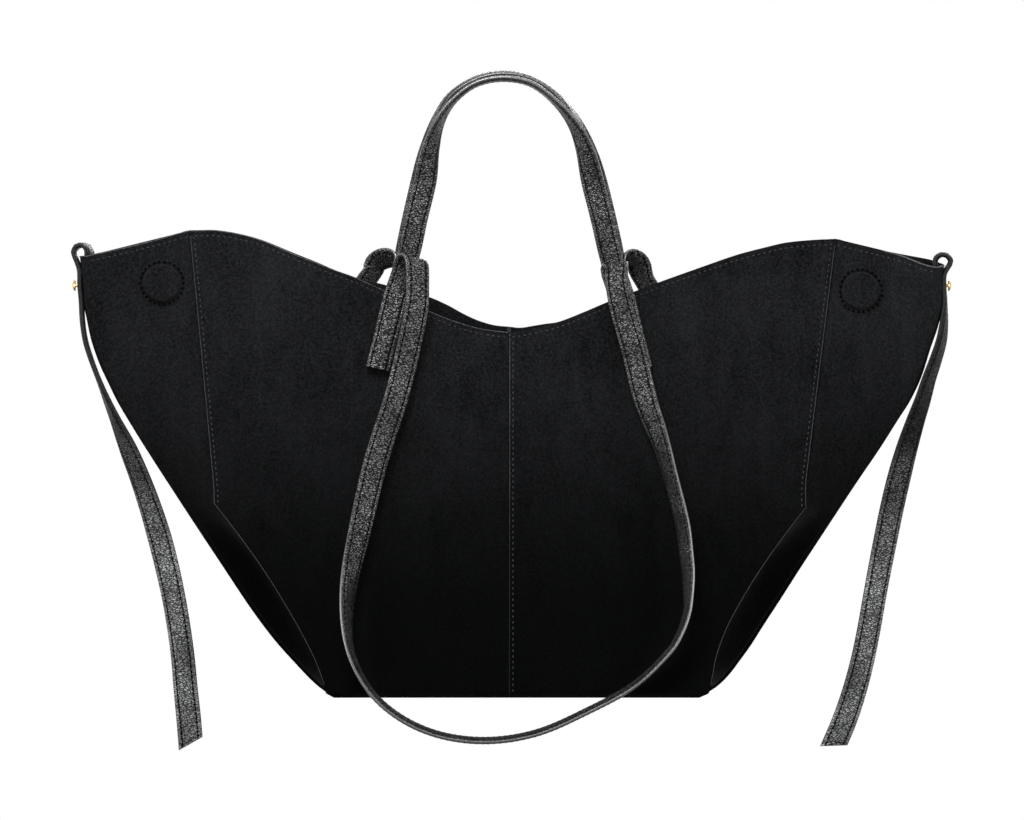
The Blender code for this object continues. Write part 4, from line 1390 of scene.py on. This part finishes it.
def wing_place(side_name, face):
    """The middle of a magnet on a wing as a function from the patch to the wing, and the way out."""
    t, v = face * 0.7, 0.91
    goal = over((SIDES[side_name] * MAGNET_X[side_name], 0, MAGNET_Z[side_name]))
    step = 0.001
    for _ in range(8):
        here = side_point(side_name, t, v)
        by_t = (side_point(side_name, t + step, v) - here) / step
        by_v = (side_point(side_name, t, v + step) - here) / step
        away = goal - here
        det = by_t.x * by_v.z - by_v.x * by_t.z
        t += (away.x * by_v.z - by_v.x * away.z) / det
        v += (by_t.x * away.z - away.x * by_t.z) / det
    reach = 0.04
    by_t = (side_point(side_name, t + reach, v) - side_point(side_name, t - reach, v)) / (2 * reach)
    by_v = (side_point(side_name, t, v + reach) - side_point(side_name, t, v - reach)) / (2 * reach)
    along = by_t.normalized()
    out = by_t.cross(by_v).normalized()
    if out.y * face < 0:
        out = -out
    up = out.cross(along)

    def on_wing(x, y):
        dv = y / by_v.dot(up)
        return side_point(side_name, t + (x - dv * by_v.dot(along)) / by_t.length, v + dv)

    return on_wing, out


def patch_height(radius):
    """Flat over the magnet, down its edge, then a brim that is sewn down."""
    top = MAGNET_RISE * (1 - ease(radius, *MAGNET_EDGE)) - 0.0005 * bump(radius - 0.0128, 0.0008)
    return top + BRIM_HEIGHT - 2 * BRIM_HEIGHT * ease(radius, *BRIM_END)


for side_name, side in SIDES.items():
    for face_name, face in FACES.items():
        on_wing, out = wing_place(side_name, face)
        bm = bmesh.new()
        bmesh.ops.create_circle(bm, cap_ends=True, segments=72, radius=PATCH_RADIUS)
        bm.faces.ensure_lookup_table()
        middle_face = bm.faces[0]
        for width in PATCH_RINGS:
            bmesh.ops.inset_region(
                bm, faces=[middle_face], thickness=width, use_boundary=True, use_even_offset=True,
            )
        bmesh.ops.poke(bm, faces=[middle_face])
        for vertex in bm.verts:
            x, y, _ = vertex.co
            height = patch_height(math.hypot(x, y)) + 0.00012 * noise.noise(Vector((x, y, side)) * 200)
            vertex.co = on_wing(x, y) + out * height
        bm.normal_update()
        bm.faces.ensure_lookup_table()
        if bm.faces[0].normal.dot(out) < 0:
            bmesh.ops.reverse_faces(bm, faces=bm.faces)
        # The ring of stitches is painted near black: painted shade of the holes round the patch.
        for k in range(RING_HOLES):
            angle = 2 * math.pi * k / RING_HOLES
            inner, outer = (on_wing(r * math.cos(angle), r * math.sin(angle)) for r in RING_ENDS)
            centre = (inner + outer) / 2 + out * RING_STITCH["radius"]
            add_stitch(bm, centre, outer - inner, out, **RING_STITCH)
        piece = finished(f"{side_name}_{face_name}_magnet_patch", bm, [suede, raw_edge, patch_thread_painted_shade])
        print(piece.name, len(piece.data.polygons), "faces,", RING_HOLES, "stitches")
        start, stop = wing_line(side_name)
        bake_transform(piece)
        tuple(start)
        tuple(stop)
        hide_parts(f"{side_name}_{face_name}_magnet_cover")

# %% [markdown]
# ## The parts that keep their plain shape
# The magnets and the board are simple in reality too, so their solids stay and only take
# their finishes.

# %% Finishes of the plain parts
KEPT = {"magnet": steel, "board": board}
for name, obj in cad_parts.items():
    finish = KEPT.get(name.rsplit("_", 1)[-1])
    if finish:
        obj.data.materials.clear()
        obj.data.materials.append(finish)
        print(name, "takes", finish.name)

# %% [markdown]
# ## Floor, light and camera
# A photograph of a bag like this is lit by large soft boxes, from the front and from
# above, over a pale floor. Black suede needs broad light, or its folds don't show. The
# camera stands far off with a long lens, so the bag keeps its true outline.

# %% The floor
FLOOR_Z = -1.35
bm = bmesh.new()
bmesh.ops.create_circle(bm, cap_ends=True, segments=96, radius=2.4)
bmesh.ops.translate(bm, vec=(0, 0, FLOOR_Z), verts=bm.verts)
pale, *_ = mottled("pale_floor", 0.8, 6, (0.86, 0.86, 0.86), (0.90, 0.90, 0.90))
floor = finished("studio_floor", bm, [pale])
floor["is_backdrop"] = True

# %% [markdown]
# Six soft boxes stand round the bag. The strongest is high in front, a little to the left,
# and one behind and one on each side draw a thin light edge on the straps.

# %% The lamps
LAMP_TARGET = Vector((0, 0, -0.1))
LAMP_SPREAD = 120
LAMPS = (
    ("key_box", (-0.20, -0.80, 0.70), 0.50, 7.2),
    ("fill_box", (0.9, -1.6, 0.4), 0.8, 3),
    ("top_box", (0.1, 0.35, 0.9), 0.6, 3.4),
    ("rear_box", (0.3, 1.4, 0.5), 0.9, 6),
    ("left_box", (-1.3, -0.8, -0.1), 0.7, 5),
    ("right_box", (1.3, -0.8, -0.1), 0.7, 5),
)
for name, place, size, power in LAMPS:
    lamp = bpy.data.lights.new(name, "AREA")
    lamp.energy = power
    lamp.size = size
    lamp.spread = math.radians(LAMP_SPREAD)
    obj = bpy.data.objects.new(name, lamp)
    obj.location = place
    obj.rotation_euler = (LAMP_TARGET - Vector(place)).to_track_quat("-Z", "Y").to_euler()
    bpy.context.scene.collection.objects.link(obj)
print(len(LAMPS), "lamps, together", round(sum(power for *_, power in LAMPS), 1), "W")

# %% [markdown]
# The backdrop is pure white where the camera, a mirror or glass sees it, but it lights the
# bag only dimly, so that the lamps shape it.

# %% The backdrop
world = bpy.data.worlds.new("white_studio")
bpy.context.scene.world = world
world.use_nodes = True
dim = world.node_tree.nodes["Background"]
dim.inputs["Color"].default_value = (1, 1, 1, 1)
dim.inputs["Strength"].default_value = 0.03
seen = node(world, "ShaderNodeBackground", {"Color": (1, 1, 1, 1), "Strength": 1.0})
rays = node(world, "ShaderNodeLightPath")
direct = maths(world, "MAXIMUM", rays.outputs["Is Camera Ray"], rays.outputs["Is Glossy Ray"])
direct = maths(world, "MAXIMUM", direct, rays.outputs["Is Transmission Ray"])
choice = node(world, "ShaderNodeMixShader")
for number, source in enumerate((direct, dim.outputs[0], seen.outputs[0])):
    join(world, source, choice.inputs[number])
join(world, choice.outputs[0], world.node_tree.nodes["World Output"].inputs["Surface"])

# %% [markdown]
# The picture has one scale for the whole bag. Two pixel positions tie the camera to it:
# the column of the bag's middle and the row of its underside.

# %% The camera
PIXEL = 0.00065
PICTURE = (1024, 820)
MIDDLE_COLUMN = 509
UNDERSIDE_ROW = 697
DISTANCE = 7.0
AIM = Vector((PICTURE[0] / 2 - MIDDLE_COLUMN, 0, UNDERSIDE_ROW - PICTURE[1] / 2)) * PIXEL
AIM.z += GROUND
FOCUS_Y = -0.045
camera_data = bpy.data.cameras.new("camera")
camera_data.sensor_width = 36.0
camera_data.lens = camera_data.sensor_width * DISTANCE / (PICTURE[0] * PIXEL)
camera_data.clip_end = 60.0
camera = bpy.data.objects.new("camera", camera_data)
camera.location = AIM + Vector((0, FOCUS_Y - DISTANCE, 0))
camera.rotation_euler = (math.pi / 2, 0, 0)
bpy.context.scene.collection.objects.link(camera)
bpy.context.scene.camera = camera
bpy.context.scene.view_settings.view_transform = "Standard"
print("lens", round(camera_data.lens, 1), "mm, aim", [round(v, 4) for v in AIM])

# %% [markdown]
# The dressed bag has to stay in the space of the solid one, so its box is measured.

# %% Measure the dressed bag
low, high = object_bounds()
